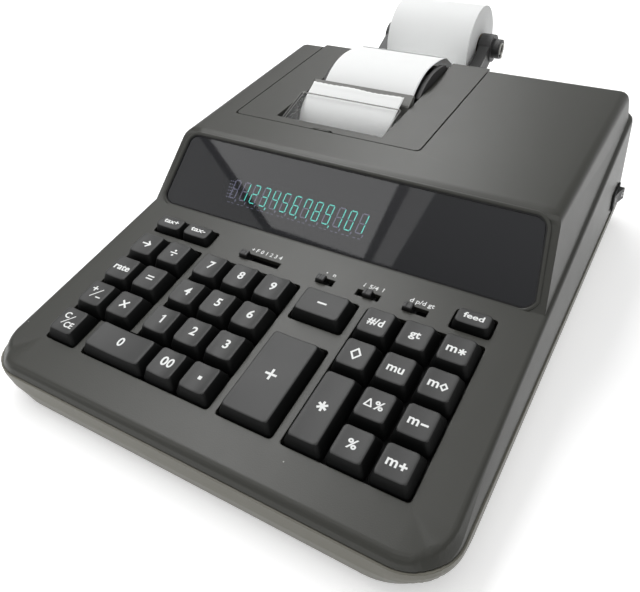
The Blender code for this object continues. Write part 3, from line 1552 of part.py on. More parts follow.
def main():
    """Build every piece and hang it from the datum."""
    clear_objects()
    black = make_material("case_black", (0.085, 0.085, 0.080), 0.55)
    tray_black = make_material("tray_black", (0.060, 0.060, 0.058), 0.60)
    key_black = make_material("key_black", (0.050, 0.050, 0.050), 0.45)
    smoked = make_material("smoked_window", (0.020, 0.022, 0.026), 0.05, alpha=0.6)
    glass = make_material("tube_glass", (0.10, 0.14, 0.15), 0.10)
    clear = make_material("clear_plastic", (0.80, 0.82, 0.84), 0.08, alpha=0.35)
    rubber = make_material("rubber", (0.025, 0.025, 0.025), 0.85)
    paper = make_material("paper", (0.86, 0.87, 0.88), 0.80)
    steel = make_material("steel", (0.55, 0.56, 0.57), 0.35, 1.0)
    board_green = make_material("board_green", (0.05, 0.16, 0.07), 0.45)
    build_top_case(black)
    build_base_case(tray_black)
    build_feet(rubber)
    build_cover(black)
    build_tear_window(clear)
    build_window(smoked)
    build_tube(glass)
    build_switch(tray_black, key_black)
    build_sliders(key_black)
    build_keys(key_black)
    build_key_plate(steel)
    build_board(board_green)
    build_printer_frame(tray_black)
    build_platen(rubber)
    build_print_head(tray_black)
    build_paper(paper)
    build_roll(paper)
    build_arms(tray_black)
    datum = bpy.data.objects.new("case_datum", None)
    bpy.context.scene.collection.objects.link(datum)
    for item in list(bpy.context.scene.objects):
        if item is not datum:
            item.parent = datum
    datum.location = ((HALF_WIDTH - SWITCH_REACH_X) / 2, -OVERALL_DEPTH / 2, 0)


main()
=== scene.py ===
"""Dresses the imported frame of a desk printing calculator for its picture.

Each sub-assembly is a class that holds its sizes, builds the pieces that the frame leaves
plain, and gives every piece its finish.  Lengths are in metres, or in millimetres where mm()
takes them, +Z is up, the keyboard faces -Y, and the frame's own nodes say where everything goes.
"""

import logging
import math
import random
from collections.abc import Callable, Iterable, Sequence
from dataclasses import dataclass, field
from enum import Enum

import bmesh
import bpy
from mathutils import Matrix, Vector
from mathutils.bvhtree import BVHTree

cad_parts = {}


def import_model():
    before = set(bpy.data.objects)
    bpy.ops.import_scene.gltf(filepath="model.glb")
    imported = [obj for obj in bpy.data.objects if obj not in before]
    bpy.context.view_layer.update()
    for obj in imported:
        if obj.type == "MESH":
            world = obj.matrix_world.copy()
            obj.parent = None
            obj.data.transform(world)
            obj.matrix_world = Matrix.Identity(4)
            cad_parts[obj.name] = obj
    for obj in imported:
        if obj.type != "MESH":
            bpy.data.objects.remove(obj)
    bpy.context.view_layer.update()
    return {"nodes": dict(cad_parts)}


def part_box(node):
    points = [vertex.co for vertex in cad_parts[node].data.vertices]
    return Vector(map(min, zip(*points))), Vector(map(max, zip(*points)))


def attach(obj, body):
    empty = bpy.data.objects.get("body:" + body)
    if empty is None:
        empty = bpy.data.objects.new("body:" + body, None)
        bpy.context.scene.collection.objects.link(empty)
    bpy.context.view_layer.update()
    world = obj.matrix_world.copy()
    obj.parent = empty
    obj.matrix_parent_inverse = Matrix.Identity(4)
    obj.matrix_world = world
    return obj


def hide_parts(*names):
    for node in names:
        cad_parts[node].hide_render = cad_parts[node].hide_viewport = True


log = logging.getLogger("calculator")

Numbers = tuple[float, ...]
Rows = tuple[Numbers, ...]
Point = Sequence[float]
Outline = Sequence[Point]
Shape = bmesh.types.BMesh
Face = bmesh.types.BMFace
Vert = bmesh.types.BMVert
Piece = bpy.types.Object
Material = bpy.types.Material
Tree = bpy.types.NodeTree
Socket = bpy.types.NodeSocket
Outputs = bpy.types.NodeOutputs

MM = 0.001
DOUBLED = 1e-6


def mm(*values: float) -> Numbers:
    """Lengths in millimetres, as metres."""
    return tuple(value * MM for value in values)


def mm_points(*points: Point) -> Rows:
    """Points in millimetres, as metres."""
    return tuple(mm(*point) for point in points)


class Tone(Enum):
    """Colours of the machine's materials, as linear values."""

    CASE = (0.036, 0.0365, 0.0305)
    # The lower case: a warm grey lighter than the upper case, lightened further to paint the floor's bounce
    # on its walls.
    TRAY = (0.150, 0.144, 0.115)
    KEY_TOP = (0.034, 0.0345, 0.034)
    # The keycaps' flanks: the key plastic darkened, painted shade of the deep wells.
    KEY_SIDE = (0.0055, 0.0058, 0.0058)
    KNOB = (0.016, 0.016, 0.016)
    # Dark liner of inner parts, also used for pieces that paint shade in gaps, slots and seams.
    LINER_AND_SHADE = (0.010, 0.010, 0.010)
    SMOKE = (0.012, 0.013, 0.016)
    # Tone of the tube's face, whose glow is painted light.
    MESH = (0.020, 0.020, 0.034)
    BAR = (0.15, 0.15, 0.14)
    ARM = (0.040, 0.040, 0.040)
    INK = (0.86, 0.87, 0.86)
    PHOSPHOR = (0.10, 0.78, 0.66)
    # Segments that are off: they glow, painted light.
    UNLIT = (0.20, 0.20, 0.30)
    CLEAR = (0.80, 0.81, 0.80)
    RIBBON = (0.014, 0.013, 0.018)
    NYLON = (0.78, 0.77, 0.72)
    WIRE_RED = (0.45, 0.03, 0.02)
    WIRE_BLUE = (0.03, 0.08, 0.36)
    PAPER = (0.90, 0.91, 0.905)
    CORE = (0.46, 0.33, 0.20)
    RUBBER = (0.022, 0.022, 0.023)
    STEEL = (0.62, 0.62, 0.63)
    LAMINATE = (0.028, 0.110, 0.045)
    CHIP = (0.020, 0.020, 0.022)
    FLOOR = (0.86, 0.86, 0.86)
    LINT = (0.34, 0.34, 0.32)
    BLACK = (0.0, 0.0, 0.0)
    WHITE = (1.0, 1.0, 1.0)

    def opaque(self) -> Numbers:
        """The colour with a full alpha, for a colour socket."""
        return (*self.value, 1.0)


class Scoop(Enum):
    """How deep the top of a keycap is hollowed across its width, in millimetres."""

    NUMBER = 0.9
    COMMAND = 0.3
    BROAD = 0.35


@dataclass(frozen=True)
class Frames:
    """The sloping frames in which the pieces of the machine are set out.

    The origin of each frame lies on the part's own middle plane, so that X is the same in
    all of them.
    """

    middle_x: float = -1.55 * MM
    front_y: float = -182.629 * MM
    deck_foot: Numbers = mm(3.0, 23.0)
    deck_slope: float = math.radians(9.0)
    panel_foot: Numbers = mm(121.0, 41.689)
    panel_slope: float = math.radians(49.0)

    def case(self) -> Matrix:
        """Frame of the case, with its front wall at Y = 0."""
        return Matrix.Translation((self.middle_x, self.front_y, 0))

    def tilted(self, foot: Point, slope: float) -> Matrix:
        """Frame that slopes up towards the back, from a foot given by its Y and Z in the case."""
        return self.case() @ Matrix.Translation((0, *foot)) @ Matrix.Rotation(slope, 4, "X")

    def deck(self) -> Matrix:
        """Frame of the sloping keyboard deck."""
        return self.tilted(self.deck_foot, self.deck_slope)

    def panel(self) -> Matrix:
        """Frame of the display panel."""
        return self.tilted(self.panel_foot, self.panel_slope)


FRAMES = Frames()


# Shaping


def finish_mesh(
    name: str, body: Shape, material: Material | Sequence[Material], place: Matrix, sharp: float = 35.0,
) -> Piece:
    """Turn a bmesh into a piece whose place is in its mesh.

    Args:
        name: Name of the new piece.
        body: The shape, which is freed.
        material: The finish of the whole piece, or one for each material index of its faces.
        place: Matrix that sets the shape in its place.
        sharp: Angle in degrees over which an edge stays sharp.

    Returns:
        The new object, at the origin.
    """
    body.transform(place)
    mesh = bpy.data.meshes.new(name)
    body.to_mesh(mesh)
    body.free()
    for finish in (material,) if isinstance(material, Material) else material:
        mesh.materials.append(finish)
    mesh.shade_smooth()
    mesh.set_sharp_from_angle(angle=math.radians(sharp))
    piece = bpy.data.objects.new(name, mesh)
    bpy.context.scene.collection.objects.link(piece)
    return piece


def moved(body: Shape, way: Point) -> Shape:
    """Move a shape along a vector and return it."""
    bmesh.ops.translate(body, vec=Vector(way), verts=body.verts)
    return body


def swung(body: Shape, angle: float, axis: str) -> Shape:
    """Turn a shape round an axis through the origin and return it."""
    bmesh.ops.rotate(body, cent=(0, 0, 0), matrix=Matrix.Rotation(angle, 3, axis), verts=body.verts)
    return body


def eased(body: Shape, edges: Iterable[bmesh.types.BMEdge], radius: float, segments: int) -> Shape:
    """Round some edges of a shape and return it.

    Args:
        body: The shape.
        edges: Its edges to round.
        radius: How far the rounding reaches from each edge.
        segments: Facets round each edge.

    Returns:
        The same bmesh.
    """
    geom = list(edges)
    bmesh.ops.bevel(
        body, geom=geom, offset=radius, segments=segments, affect="EDGES", profile=0.5, material=-1
    )
    return body


def sliced(body: Shape, spot: Point, way: Point, clear: bool = False) -> Shape:
    """Cut all faces of a shape along a plane.

    Args:
        body: The shape.
        spot: A point of the plane.
        way: The plane's normal.
        clear: Whether what lies beyond the plane is taken away.

    Returns:
        The same bmesh.
    """
    geom = body.verts[:] + body.edges[:] + body.faces[:]
    bmesh.ops.bisect_plane(body, geom=geom, plane_co=spot, plane_no=way, clear_outer=clear)
    return body


def weld(body: Shape) -> None:
    """Merge doubled vertices and turn all faces outwards."""
    bmesh.ops.remove_doubles(body, verts=body.verts, dist=DOUBLED)
    bmesh.ops.recalc_face_normals(body, faces=body.faces)


def block(
    size: Point, centre: Point, edge: float = 0.0, segments: int = 2, turn: float = 0.0,
) -> Shape:
    """A block with all of its edges rounded.

    Args:
        size: Lengths along X, Y and Z.
        centre: Middle of the block.
        edge: Radius of the edges, or 0 for sharp ones.
        segments: Facets round each edge.
        turn: Turn about Z, in radians.

    Returns:
        The block as a bmesh.
    """
    body = bmesh.new()
    bmesh.ops.create_cube(body, size=1.0)
    bmesh.ops.scale(body, vec=Vector(size), verts=body.verts)
    if edge > 0:
        eased(body, body.edges, edge, segments)
    return moved(swung(body, turn, "Z"), centre)


def merge(parts: Iterable[Shape]) -> Shape:
    """Collect several shapes in one bmesh and free them.

    Args:
        parts: The shapes.

    Returns:
        One bmesh that holds them all.
    """
    whole = bmesh.new()
    for part in parts:
        keep = bpy.data.meshes.new("collected")
        part.to_mesh(keep)
        part.free()
        whole.from_mesh(keep)
        bpy.data.meshes.remove(keep)
    return whole


def turned(profile: Outline, steps: int = 48) -> Shape:
    """A shape spun round the Z axis.

    Args:
        profile: Radius and height of each point, from one end of the axis to the other.
        steps: Facets round the axis.

    Returns:
        The closed shape as a bmesh.
    """
    body = bmesh.new()
    points = [body.verts.new((radius, 0, height)) for radius, height in profile]
    edges = [body.edges.new(pair) for pair in zip(points, points[1:])]
    bmesh.ops.spin(
        body, geom=points + edges, cent=(0, 0, 0), axis=(0, 0, 1), angle=math.tau, steps=steps,
        use_merge=True, use_duplicate=False,
    )
    weld(body)
    return body


def disc(radius: float, thickness: float, steps: int) -> Shape:
    """A flat round dot, with its back at Z = 0."""
    return turned(((0, 0), (radius, 0), (radius, thickness), (0, thickness)), steps)


def ring_wall(radius: float, bore: float, low: float, high: float, steps: int = 64) -> Shape:
    """A tube along Z, between two radii and two heights."""
    return turned(((bore, low), (radius, low), (radius, high), (bore, high), (bore, low)), steps)


def lay_along_x(body: Shape, centre: Point) -> Shape:
    """Turn a shape whose axis is Z so that it lies along X, and set it on a centre."""
    body.transform(Matrix.Translation(Vector(centre)) @ Matrix.Rotation(math.pi / 2, 4, "Y"))
    return body


def stand_on(spot: Vector, normal: Vector) -> Matrix:
    """Frame on a surface, with Z along the surface's normal."""
    return Matrix.Translation(spot) @ normal.to_track_quat("Z", "Y").to_matrix().to_4x4()


def corner_points(item: Iterable[object]) -> list[Vert]:
    """The vertices among some geometry."""
    return [part for part in item if isinstance(part, Vert)]


@dataclass(frozen=True)
class Gear:
    """A spur gear along Z with a thinner web, a hub and a bore.

    The radius is that at the foot of the teeth, and rim_share and web_share are shares of it.
    A tooth is reach times as deep as its foot is wide.  web_width and hub_width are half the
    widths of web and hub, as shares of the rim's.
    """

    radius: float
    teeth: int
    width: float
    bore: float
    rim_share: float = 0.78
    web_share: float = 0.8
    reach: float = 2.1
    narrowing: float = 0.42
    web_width: float = 0.22
    hub_width: float = 0.62
    hub_wall: float = 1.4 * MM
    hub_steps: int = 24

    def tooth_feet(self, rim: Shape) -> list[Face]:
        """Every second facet round the rim, from which the teeth grow.

        Args:
            rim: The plain rim.

        Returns:
            The facets, in order round the axis.
        """
        middles = {face: face.calc_center_median() for face in rim.faces}
        flanks = [
            face
            for face, middle in middles.items()
            if abs(face.normal.z) < 0.2 and middle.xy.length > self.radius * (1 + self.rim_share) / 2
        ]
        flanks.sort(key=lambda face: math.atan2(middles[face].y, middles[face].x))
        return flanks[::2]

    def shape(self) -> Shape:
        """Shape the gear.

        Returns:
            The gear, centred on the origin.
        """
        half = self.width / 2
        rim = ring_wall(self.radius, self.radius * self.rim_share, -half, half, 2 * self.teeth)
        grown = bmesh.ops.extrude_discrete_faces(rim, faces=self.tooth_feet(rim))["faces"]
        depth = self.reach * math.pi * self.radius / (2 * self.teeth)
        for face in grown:
            out = face.normal.copy()
            middle = face.calc_center_median()
            for vert in face.verts:
                across = vert.co - middle
                flat = Vector((across.x, across.y, 0))
                vert.co += out * depth - flat * self.narrowing
        web_half = self.width * self.web_width
        web = ring_wall(self.radius * self.web_share, self.bore, -web_half, web_half, 2 * self.teeth)
        hub_half = self.width * self.hub_width
        hub = ring_wall(self.bore + self.hub_wall, self.bore, -hub_half, hub_half, self.hub_steps)
        return merge((rim, web, hub))


def rounded_ring(size: Point, radius: float, wall: float, low: float, high: float) -> Shape:
    """A ring wall drawn out to a rectangle with round corners.

    Args:
        size: Outer width and depth.
        radius: Outer radius of its corners.
        wall: Thickness of the wall.
        low, high: Lower and upper edge.

    Returns:
        The ring round the origin.
    """
    steps = 32
    body = ring_wall(radius, radius - wall, low, high, steps)
    bmesh.ops.rotate(body, verts=body.verts, matrix=Matrix.Rotation(math.pi / steps, 3, "Z"))
    for vert in body.verts:
        vert.co.x += math.copysign(size[0] / 2 - radius, vert.co.x)
        vert.co.y += math.copysign(size[1] / 2 - radius, vert.co.y)
    return body


def outline_plate(points: Outline, thickness: float) -> Shape:
    """A flat outline given a thickness downwards.

    Args:
        points: Corners of the outline, at Z = 0.
        thickness: Height of the plate.

    Returns:
        The plate, with its upper face at Z = 0.
    """
    body = bmesh.new()
    face = body.faces.new([body.verts.new((point[0], point[1], 0)) for point in points])
    grown = bmesh.ops.extrude_face_region(body, geom=[face])["geom"]
    bmesh.ops.translate(body, vec=(0, 0, -thickness), verts=corner_points(grown))
    bmesh.ops.recalc_face_normals(body, faces=body.faces)
    return body


def side_plate(points: Outline, width: float, middle: float) -> Shape:
    """An outline in Y and Z given a width along X.

    Args:
        points: Y and Z of the outline's corners.
        width: Width of the plate.
        middle: X of the plate's middle.

    Returns:
        The plate in the case's frame.
    """
    plate = outline_plate(points, width)
    upright = Matrix(((0, 0, 1, 0), (1, 0, 0, 0), (0, 1, 0, 0), (0, 0, 0, 1)))
    plate.transform(Matrix.Translation((middle + width / 2, 0, 0)) @ upright)
    return plate


def wording(words: str, height: float, depth: float, weight: float, width: float = 0.0) -> Shape:
    """Letters as a thin solid, centred on the origin.

    Args:
        words: The letters.
        height: Height of a capital letter.
        depth: Thickness of the print.
        weight: How far the strokes are fattened, as a share of the letter size.
        width: Width that the letters are drawn out to, or 0 for their own.

    Returns:
        The letters as a bmesh, with their back at Z = 0.
    """
    size_for_capital = 1.38
    curve = bpy.data.curves.new("lettering", "FONT")
    curve.body = words
    curve.size = height * size_for_capital
    curve.offset = weight * height
    curve.extrude = depth / 2
    curve.resolution_u = 3
    holder = bpy.data.objects.new("lettering", curve)
    bpy.context.scene.collection.objects.link(holder)
    bpy.context.view_layer.update()
    mesh = bpy.data.meshes.new_from_object(holder)
    body = bmesh.new()
    body.from_mesh(mesh)
    bpy.data.objects.remove(holder, do_unlink=True)
    bpy.data.curves.remove(curve)
    bpy.data.meshes.remove(mesh)
    xs = [vert.co.x for vert in body.verts]
    moved(body, (-(min(xs) + max(xs)) / 2, -height / 2, depth / 2))
    if width > 0:
        xs = [vert.co.x for vert in body.verts]
        bmesh.ops.scale(body, vec=(width / (max(xs) - min(xs)), 1, 1), verts=body.verts)
    return body


# Finishes


class NodeBench:
    """Places and links nodes in one node tree."""

    pitch = 220

    def __init__(self, tree: Tree) -> None:
        """Start on an empty tree."""
        self.tree = tree
        self.count = 0

    def add(
        self, kind: str, inputs: dict[str | int, object] | None = None, **values: object
    ) -> bpy.types.Node:
        """Add a node, set it up, and move it along the bench.

        Args:
            kind: Blender's type name of the node.
            inputs: What each input is linked to or set to, by its name or number.
            **values: Properties of the node.

        Returns:
            The new node.
        """
        node = self.tree.nodes.new(kind)
        node.location = (self.pitch * self.count, 0)
        self.count += 1
        for key, value in values.items():
            setattr(node, key, value)
        for key, value in (inputs or {}).items():
            if isinstance(value, Socket):
                self.tree.links.new(value, node.inputs[key])
            else:
                node.inputs[key].default_value = value
        return node

    def math(self, operation: str, *values: object, clamp: bool = False) -> Socket:
        """Add a Math node on some values or sockets, and return its output."""
        inputs = dict(enumerate(values))
        return self.add("ShaderNodeMath", inputs, operation=operation, use_clamp=clamp).outputs[0]

    def vector(self, operation: str, inputs: dict[str | int, object]) -> Outputs:
        """Add a Vector Math node, and return its outputs."""
        return self.add("ShaderNodeVectorMath", inputs, operation=operation).outputs

    def ramp(self, value: Socket, start: Point, end: Point) -> Socket:
        """Map a value's range, given by its two ends, on another, and return the output."""
        ends = zip(("From Min", "From Max", "To Min", "To Max"), (*start, *end))
        return self.add("ShaderNodeMapRange", {"Value": value, **dict(ends)}).outputs["Result"]

    def group(self, tree: Tree, **inputs: object) -> Outputs:
        """Place a node group, and return its outputs."""
        return self.add("ShaderNodeGroup", inputs, node_tree=tree).outputs


class EffectGroups:
    """Node groups for the effects that several finishes share."""

    def __init__(self) -> None:
        """Build every group once."""
        self.grain = self.build_grain()
        self.specks = self.build_specks()
        self.wear = self.build_wear()
        self.mottle = self.build_mottle()

    def build(
        self, name: str, inputs: dict[str, float | None], outputs: dict[str, type],
        fill: Callable[[NodeBench, Outputs], dict[str, Socket]],
    ) -> Tree:
        """Build one group with its named sockets.

        Args:
            name: Name of the group.
            inputs: Every input's default, or None for a vector.
            outputs: Every output, as float for a number or Vector for a vector.
            fill: Builds the nodes from the inputs, and says what goes to each output.

        Returns:
            The group.
        """
        tree = bpy.data.node_groups.new(name, "ShaderNodeTree")
        for label, default in inputs.items():
            kind = "NodeSocketVector" if default is None else "NodeSocketFloat"
            socket = tree.interface.new_socket(label, in_out="INPUT", socket_type=kind)
            if default is not None:
                socket.default_value = default
        for label, result in outputs.items():
            kind = "NodeSocketVector" if result is Vector else "NodeSocketFloat"
            tree.interface.new_socket(label, in_out="OUTPUT", socket_type=kind)
        bench = NodeBench(tree)
        results = fill(bench, bench.add("NodeGroupInput").outputs)
        bench.add("NodeGroupOutput", results)
        return tree

    def build_grain(self) -> Tree:
        """Fine spark-eroded grain of a moulded surface, as a height.

        Returns:
            The group, with the grain's height as its output.
        """

        def fill(bench: NodeBench, given: Outputs) -> dict[str, Socket]:
            """Fine noise over softly rounded cells."""
            spread = {"Vector": given["Vector"], "Scale": given["Size"]}
            fine = bench.add("ShaderNodeTexNoise", {**spread, "Detail": 2.0, "Roughness": 0.55})
            coarse = bench.add("ShaderNodeTexVoronoi", {**spread, "Smoothness": 0.6}, feature="SMOOTH_F1")
            total = bench.math("ADD", fine.outputs["Fac"], coarse.outputs["Distance"])
            return {"Height": bench.math("MULTIPLY", total, given["Depth"])}

        inputs = {"Vector": None, "Size": 2600.0, "Depth": 1.0}
        return self.build("MouldGrain", inputs, {"Height": float}, fill)

    def build_specks(self) -> Tree:
        """Small pale specks of lint and dust, as a mask.

        Returns:
            The group, whose mask is 1 on a speck.
        """

        def fill(bench: NodeBench, given: Outputs) -> dict[str, Socket]:
            """A dot in the middle of some of the cells."""
            cells = bench.add("ShaderNodeTexVoronoi", {"Vector": given["Vector"], "Scale": given["Size"]})
            near = bench.ramp(cells.outputs["Distance"], (0.045, 0.020), (0.0, 1.0))
            split = bench.add("ShaderNodeSeparateColor", {"Color": cells.outputs["Color"]})
            chosen = bench.math("LESS_THAN", split.outputs["Red"], given["Amount"])
            return {"Mask": bench.math("MULTIPLY", near, chosen)}

        inputs = {"Vector": None, "Size": 90.0, "Amount": 0.1}
        return self.build("LintSpecks", inputs, {"Mask": float}, fill)

    def build_wear(self) -> Tree:
        """Rounded edges, and the polish that hands leave on them.

        Returns:
            The group, with a rounded normal and a mask that is 1 on an edge.
        """

        def fill(bench: NodeBench, given: Outputs) -> dict[str, Socket]:
            """Compare the rounded normal with the flat one."""
            bevel = bench.add("ShaderNodeBevel", {"Radius": given["Radius"]}, samples=6)
            rounded = bevel.outputs["Normal"]
            flat = bench.add("ShaderNodeNewGeometry").outputs["Normal"]
            same = bench.vector("DOT_PRODUCT", {0: rounded, 1: flat})["Value"]
            rest = bench.math("SUBTRACT", 1.0, same)
            return {"Normal": rounded, "Mask": bench.math("MULTIPLY", rest, given["Gain"], clamp=True)}

        inputs = {"Radius": 0.0004, "Gain": 3.0}
        return self.build("EdgePolish", inputs, {"Normal": Vector, "Mask": float}, fill)

    def build_mottle(self) -> Tree:
        """Slow changes of shade and gloss, as on handled plastic.

        Returns:
            The group, with a value around 0 that changes slowly over the surface.
        """

        def fill(bench: NodeBench, given: Outputs) -> dict[str, Socket]:
            """Soft noise, centred on 0."""
            spread = {"Vector": given["Vector"], "Scale": given["Size"], "Detail": 4.0}
            cloud = bench.add("ShaderNodeTexNoise", spread)
            level = bench.math("SUBTRACT", cloud.outputs["Fac"], 0.5)
            return {"Value": bench.math("MULTIPLY", level, given["Amount"])}

        inputs = {"Vector": None, "Size": 30.0, "Amount": 0.1}
        return self.build("SlowMottle", inputs, {"Value": float}, fill)


class FinishBench(NodeBench):
    """The bench of one material, with the shared effects and what they work on."""

    def __init__(self, tree: Tree, groups: EffectGroups, edge: float) -> None:
        """Start on an empty tree, with the polish of its edges where they are rounded."""
        super().__init__(tree)
        self.groups = groups
        self.place = self.add("ShaderNodeTexCoord").outputs["Object"]
        self.polish = self.group(groups.wear, Radius=edge) if edge > 0 else None


@dataclass(frozen=True)
class Finish:
    """One finish: a colour with the small unevenness of the real surface.

    Each size is the scale of a pattern, per metre.  At 0 there is no grain, speck, rounded edge
    or glow.  mottle is how far shade and gloss wander, specks the share of lint cells that hold
    a speck, edge the radius of the rounded edges, and polish_gain what their polish adds to the
    roughness.
    """

    name: str
    tone: Tone
    roughness: float = 0.5
    grain: float = 0.0
    grain_size: float = 2600.0
    mottle: float = 0.08
    specks: float = 0.0
    edge: float = 0.0
    metallic: float = 0.0
    glow: float = 0.0
    opacity: float = 1.0
    specular: float = 0.5
    shade_size: float = 34.0
    shade_gain: float = 1.6
    gloss_size: float = 75.0
    polish_gain: float = -0.12
    speck_size: float = 120.0
    grain_height: float = 0.00006

    def make(self, groups: EffectGroups) -> Material:
        """Build the material's nodes.

        Args:
            groups: The shared effects.

        Returns:
            The material.
        """
        material = bpy.data.materials.new(self.name)
        material.use_nodes = True
        material.node_tree.nodes.clear()
        bench = FinishBench(material.node_tree, groups, self.edge)
        colour = self.colour(bench)
        if self.specks > 0:
            colour = self.specked(bench, colour)
        inputs = {
            "Base Color": colour, "Metallic": self.metallic, "Specular IOR Level": self.specular,
            "Roughness": self.gloss(bench), "Alpha": self.solidity(bench),
            **self.relief(bench), **self.emission(bench, colour),
        }
        shader = bench.add("ShaderNodeBsdfPrincipled", inputs)
        bench.add("ShaderNodeOutputMaterial", {"Surface": shader.outputs["BSDF"]})
        return material

    def colour(self, bench: FinishBench) -> Socket:
        """The base colour with its slow changes of shade.

        Args:
            bench: The material's bench.

        Returns:
            The colour socket.
        """
        amount = self.mottle * self.shade_gain
        inputs = {"Size": self.shade_size, "Amount": amount, "Vector": bench.place}
        shade = bench.group(bench.groups.mottle, **inputs)["Value"]
        gain = bench.math("ADD", shade, 1.0)
        return bench.vector("SCALE", {0: self.tone.value, "Scale": gain})["Vector"]

    def specked(self, bench: FinishBench, colour: Socket) -> Socket:
        """Lay pale specks over a colour.

        Args:
            bench: The material's bench.
            colour: The colour under the specks.

        Returns:
            The colour socket with the specks.
        """
        inputs = {"Amount": self.specks, "Size": self.speck_size, "Vector": bench.place}
        lint = bench.group(bench.groups.specks, **inputs)["Mask"]
        inputs = {"Factor": lint, "A": colour, "B": Tone.LINT.opaque()}
        return bench.add("ShaderNodeMix", inputs, data_type="RGBA").outputs["Result"]

    def gloss(self, bench: FinishBench) -> Socket:
        """Roughness that wanders slowly and falls on polished edges.

        Args:
            bench: The material's bench.

        Returns:
            The roughness socket.
        """
        inputs = {"Size": self.gloss_size, "Amount": self.mottle, "Vector": bench.place}
        wander = bench.group(bench.groups.mottle, **inputs)["Value"]
        level = bench.math("ADD", wander, self.roughness, clamp=True)
        if bench.polish is None:
            return level
        return bench.math("MULTIPLY_ADD", bench.polish["Mask"], self.polish_gain, level, clamp=True)

    def relief(self, bench: FinishBench) -> dict[str, Socket]:
        """Grain as a bump, over rounded edges where the finish has them.

        Args:
            bench: The material's bench.

        Returns:
            What goes to the shader's normal, if anything does.
        """
        relief = {} if bench.polish is None else {"Normal": bench.polish["Normal"]}
        if self.grain <= 0:
            return relief
        height = bench.group(bench.groups.grain, Size=self.grain_size, Vector=bench.place)["Height"]
        inputs = {"Strength": self.grain, "Distance": self.grain_height, "Height": height, **relief}
        return {"Normal": bench.add("ShaderNodeBump", inputs).outputs["Normal"]}

    def solidity(self, bench: FinishBench) -> float | Socket:
        """The opacity, the same from every side."""
        return self.opacity

    def emission(self, bench: FinishBench, colour: Socket) -> dict[str, object]:
        """What the shader's emission inputs get, if the surface gives off light."""
        return {"Emission Color": colour, "Emission Strength": self.glow} if self.glow > 0 else {}


@dataclass(frozen=True)
class ClearPlastic(Finish):
    """Clear sheet whose opacity grows to that of its rim where it is seen edge on."""

    rim: float = 0.7
    blend: float = 0.3

    def solidity(self, bench: FinishBench) -> Socket:
        """The opacity, which follows the angle of sight."""
        angle = bench.add("ShaderNodeLayerWeight", {"Blend": self.blend}).outputs["Facing"]
        return bench.ramp(angle, (0.5, 1.0), (self.opacity, self.rim))


@dataclass(frozen=True)
class RolledPaper(Finish):
    """Paper whose wound edge shows the turns round the roll's axis, per metre of its radius."""

    axis_y: float = 0.0
    axis_z: float = 0.0
    turns: float = 2600.0

    def colour(self, bench: FinishBench) -> Socket:
        """Paper colour with faint rings round the roll's axis.

        Args:
            bench: The material's bench.

        Returns:
            The colour socket.
        """
        base = super().colour(bench)
        offset = {"Vector": bench.place, "Location": (0, -self.axis_y, -self.axis_z)}
        centred = bench.add("ShaderNodeMapping", offset).outputs["Vector"]
        flat = bench.vector("MULTIPLY", {0: centred, 1: (0, 1, 1)})["Vector"]
        radius = bench.vector("LENGTH", {0: flat})["Value"]
        rings = {"W": radius, "Scale": self.turns, "Detail": 1.0}
        wound = bench.add("ShaderNodeTexNoise", rings, noise_dimensions="1D").outputs["Fac"]
        shade = bench.ramp(wound, (0.25, 0.75), (0.86, 1.02))
        return bench.vector("SCALE", {0: base, "Scale": shade})["Vector"]


@dataclass(frozen=True)
class StudioFloor(Finish):
    """Pale floor that is lifted to white where it is only seen, and still shows the shadow."""

    lift: float = 0.40

    def emission(self, bench: FinishBench, colour: Socket) -> dict[str, object]:
        """The lift, for every ray that only looks at the floor."""
        ray = bench.add("ShaderNodeLightPath").outputs
        seen = bench.math("MAXIMUM", ray["Is Camera Ray"], ray["Is Glossy Ray"])
        seen = bench.math("MAXIMUM", seen, ray["Is Transmission Ray"])
        strength = bench.math("MULTIPLY", seen, self.lift)
        return {"Emission Color": Tone.WHITE.opaque(), "Emission Strength": strength}


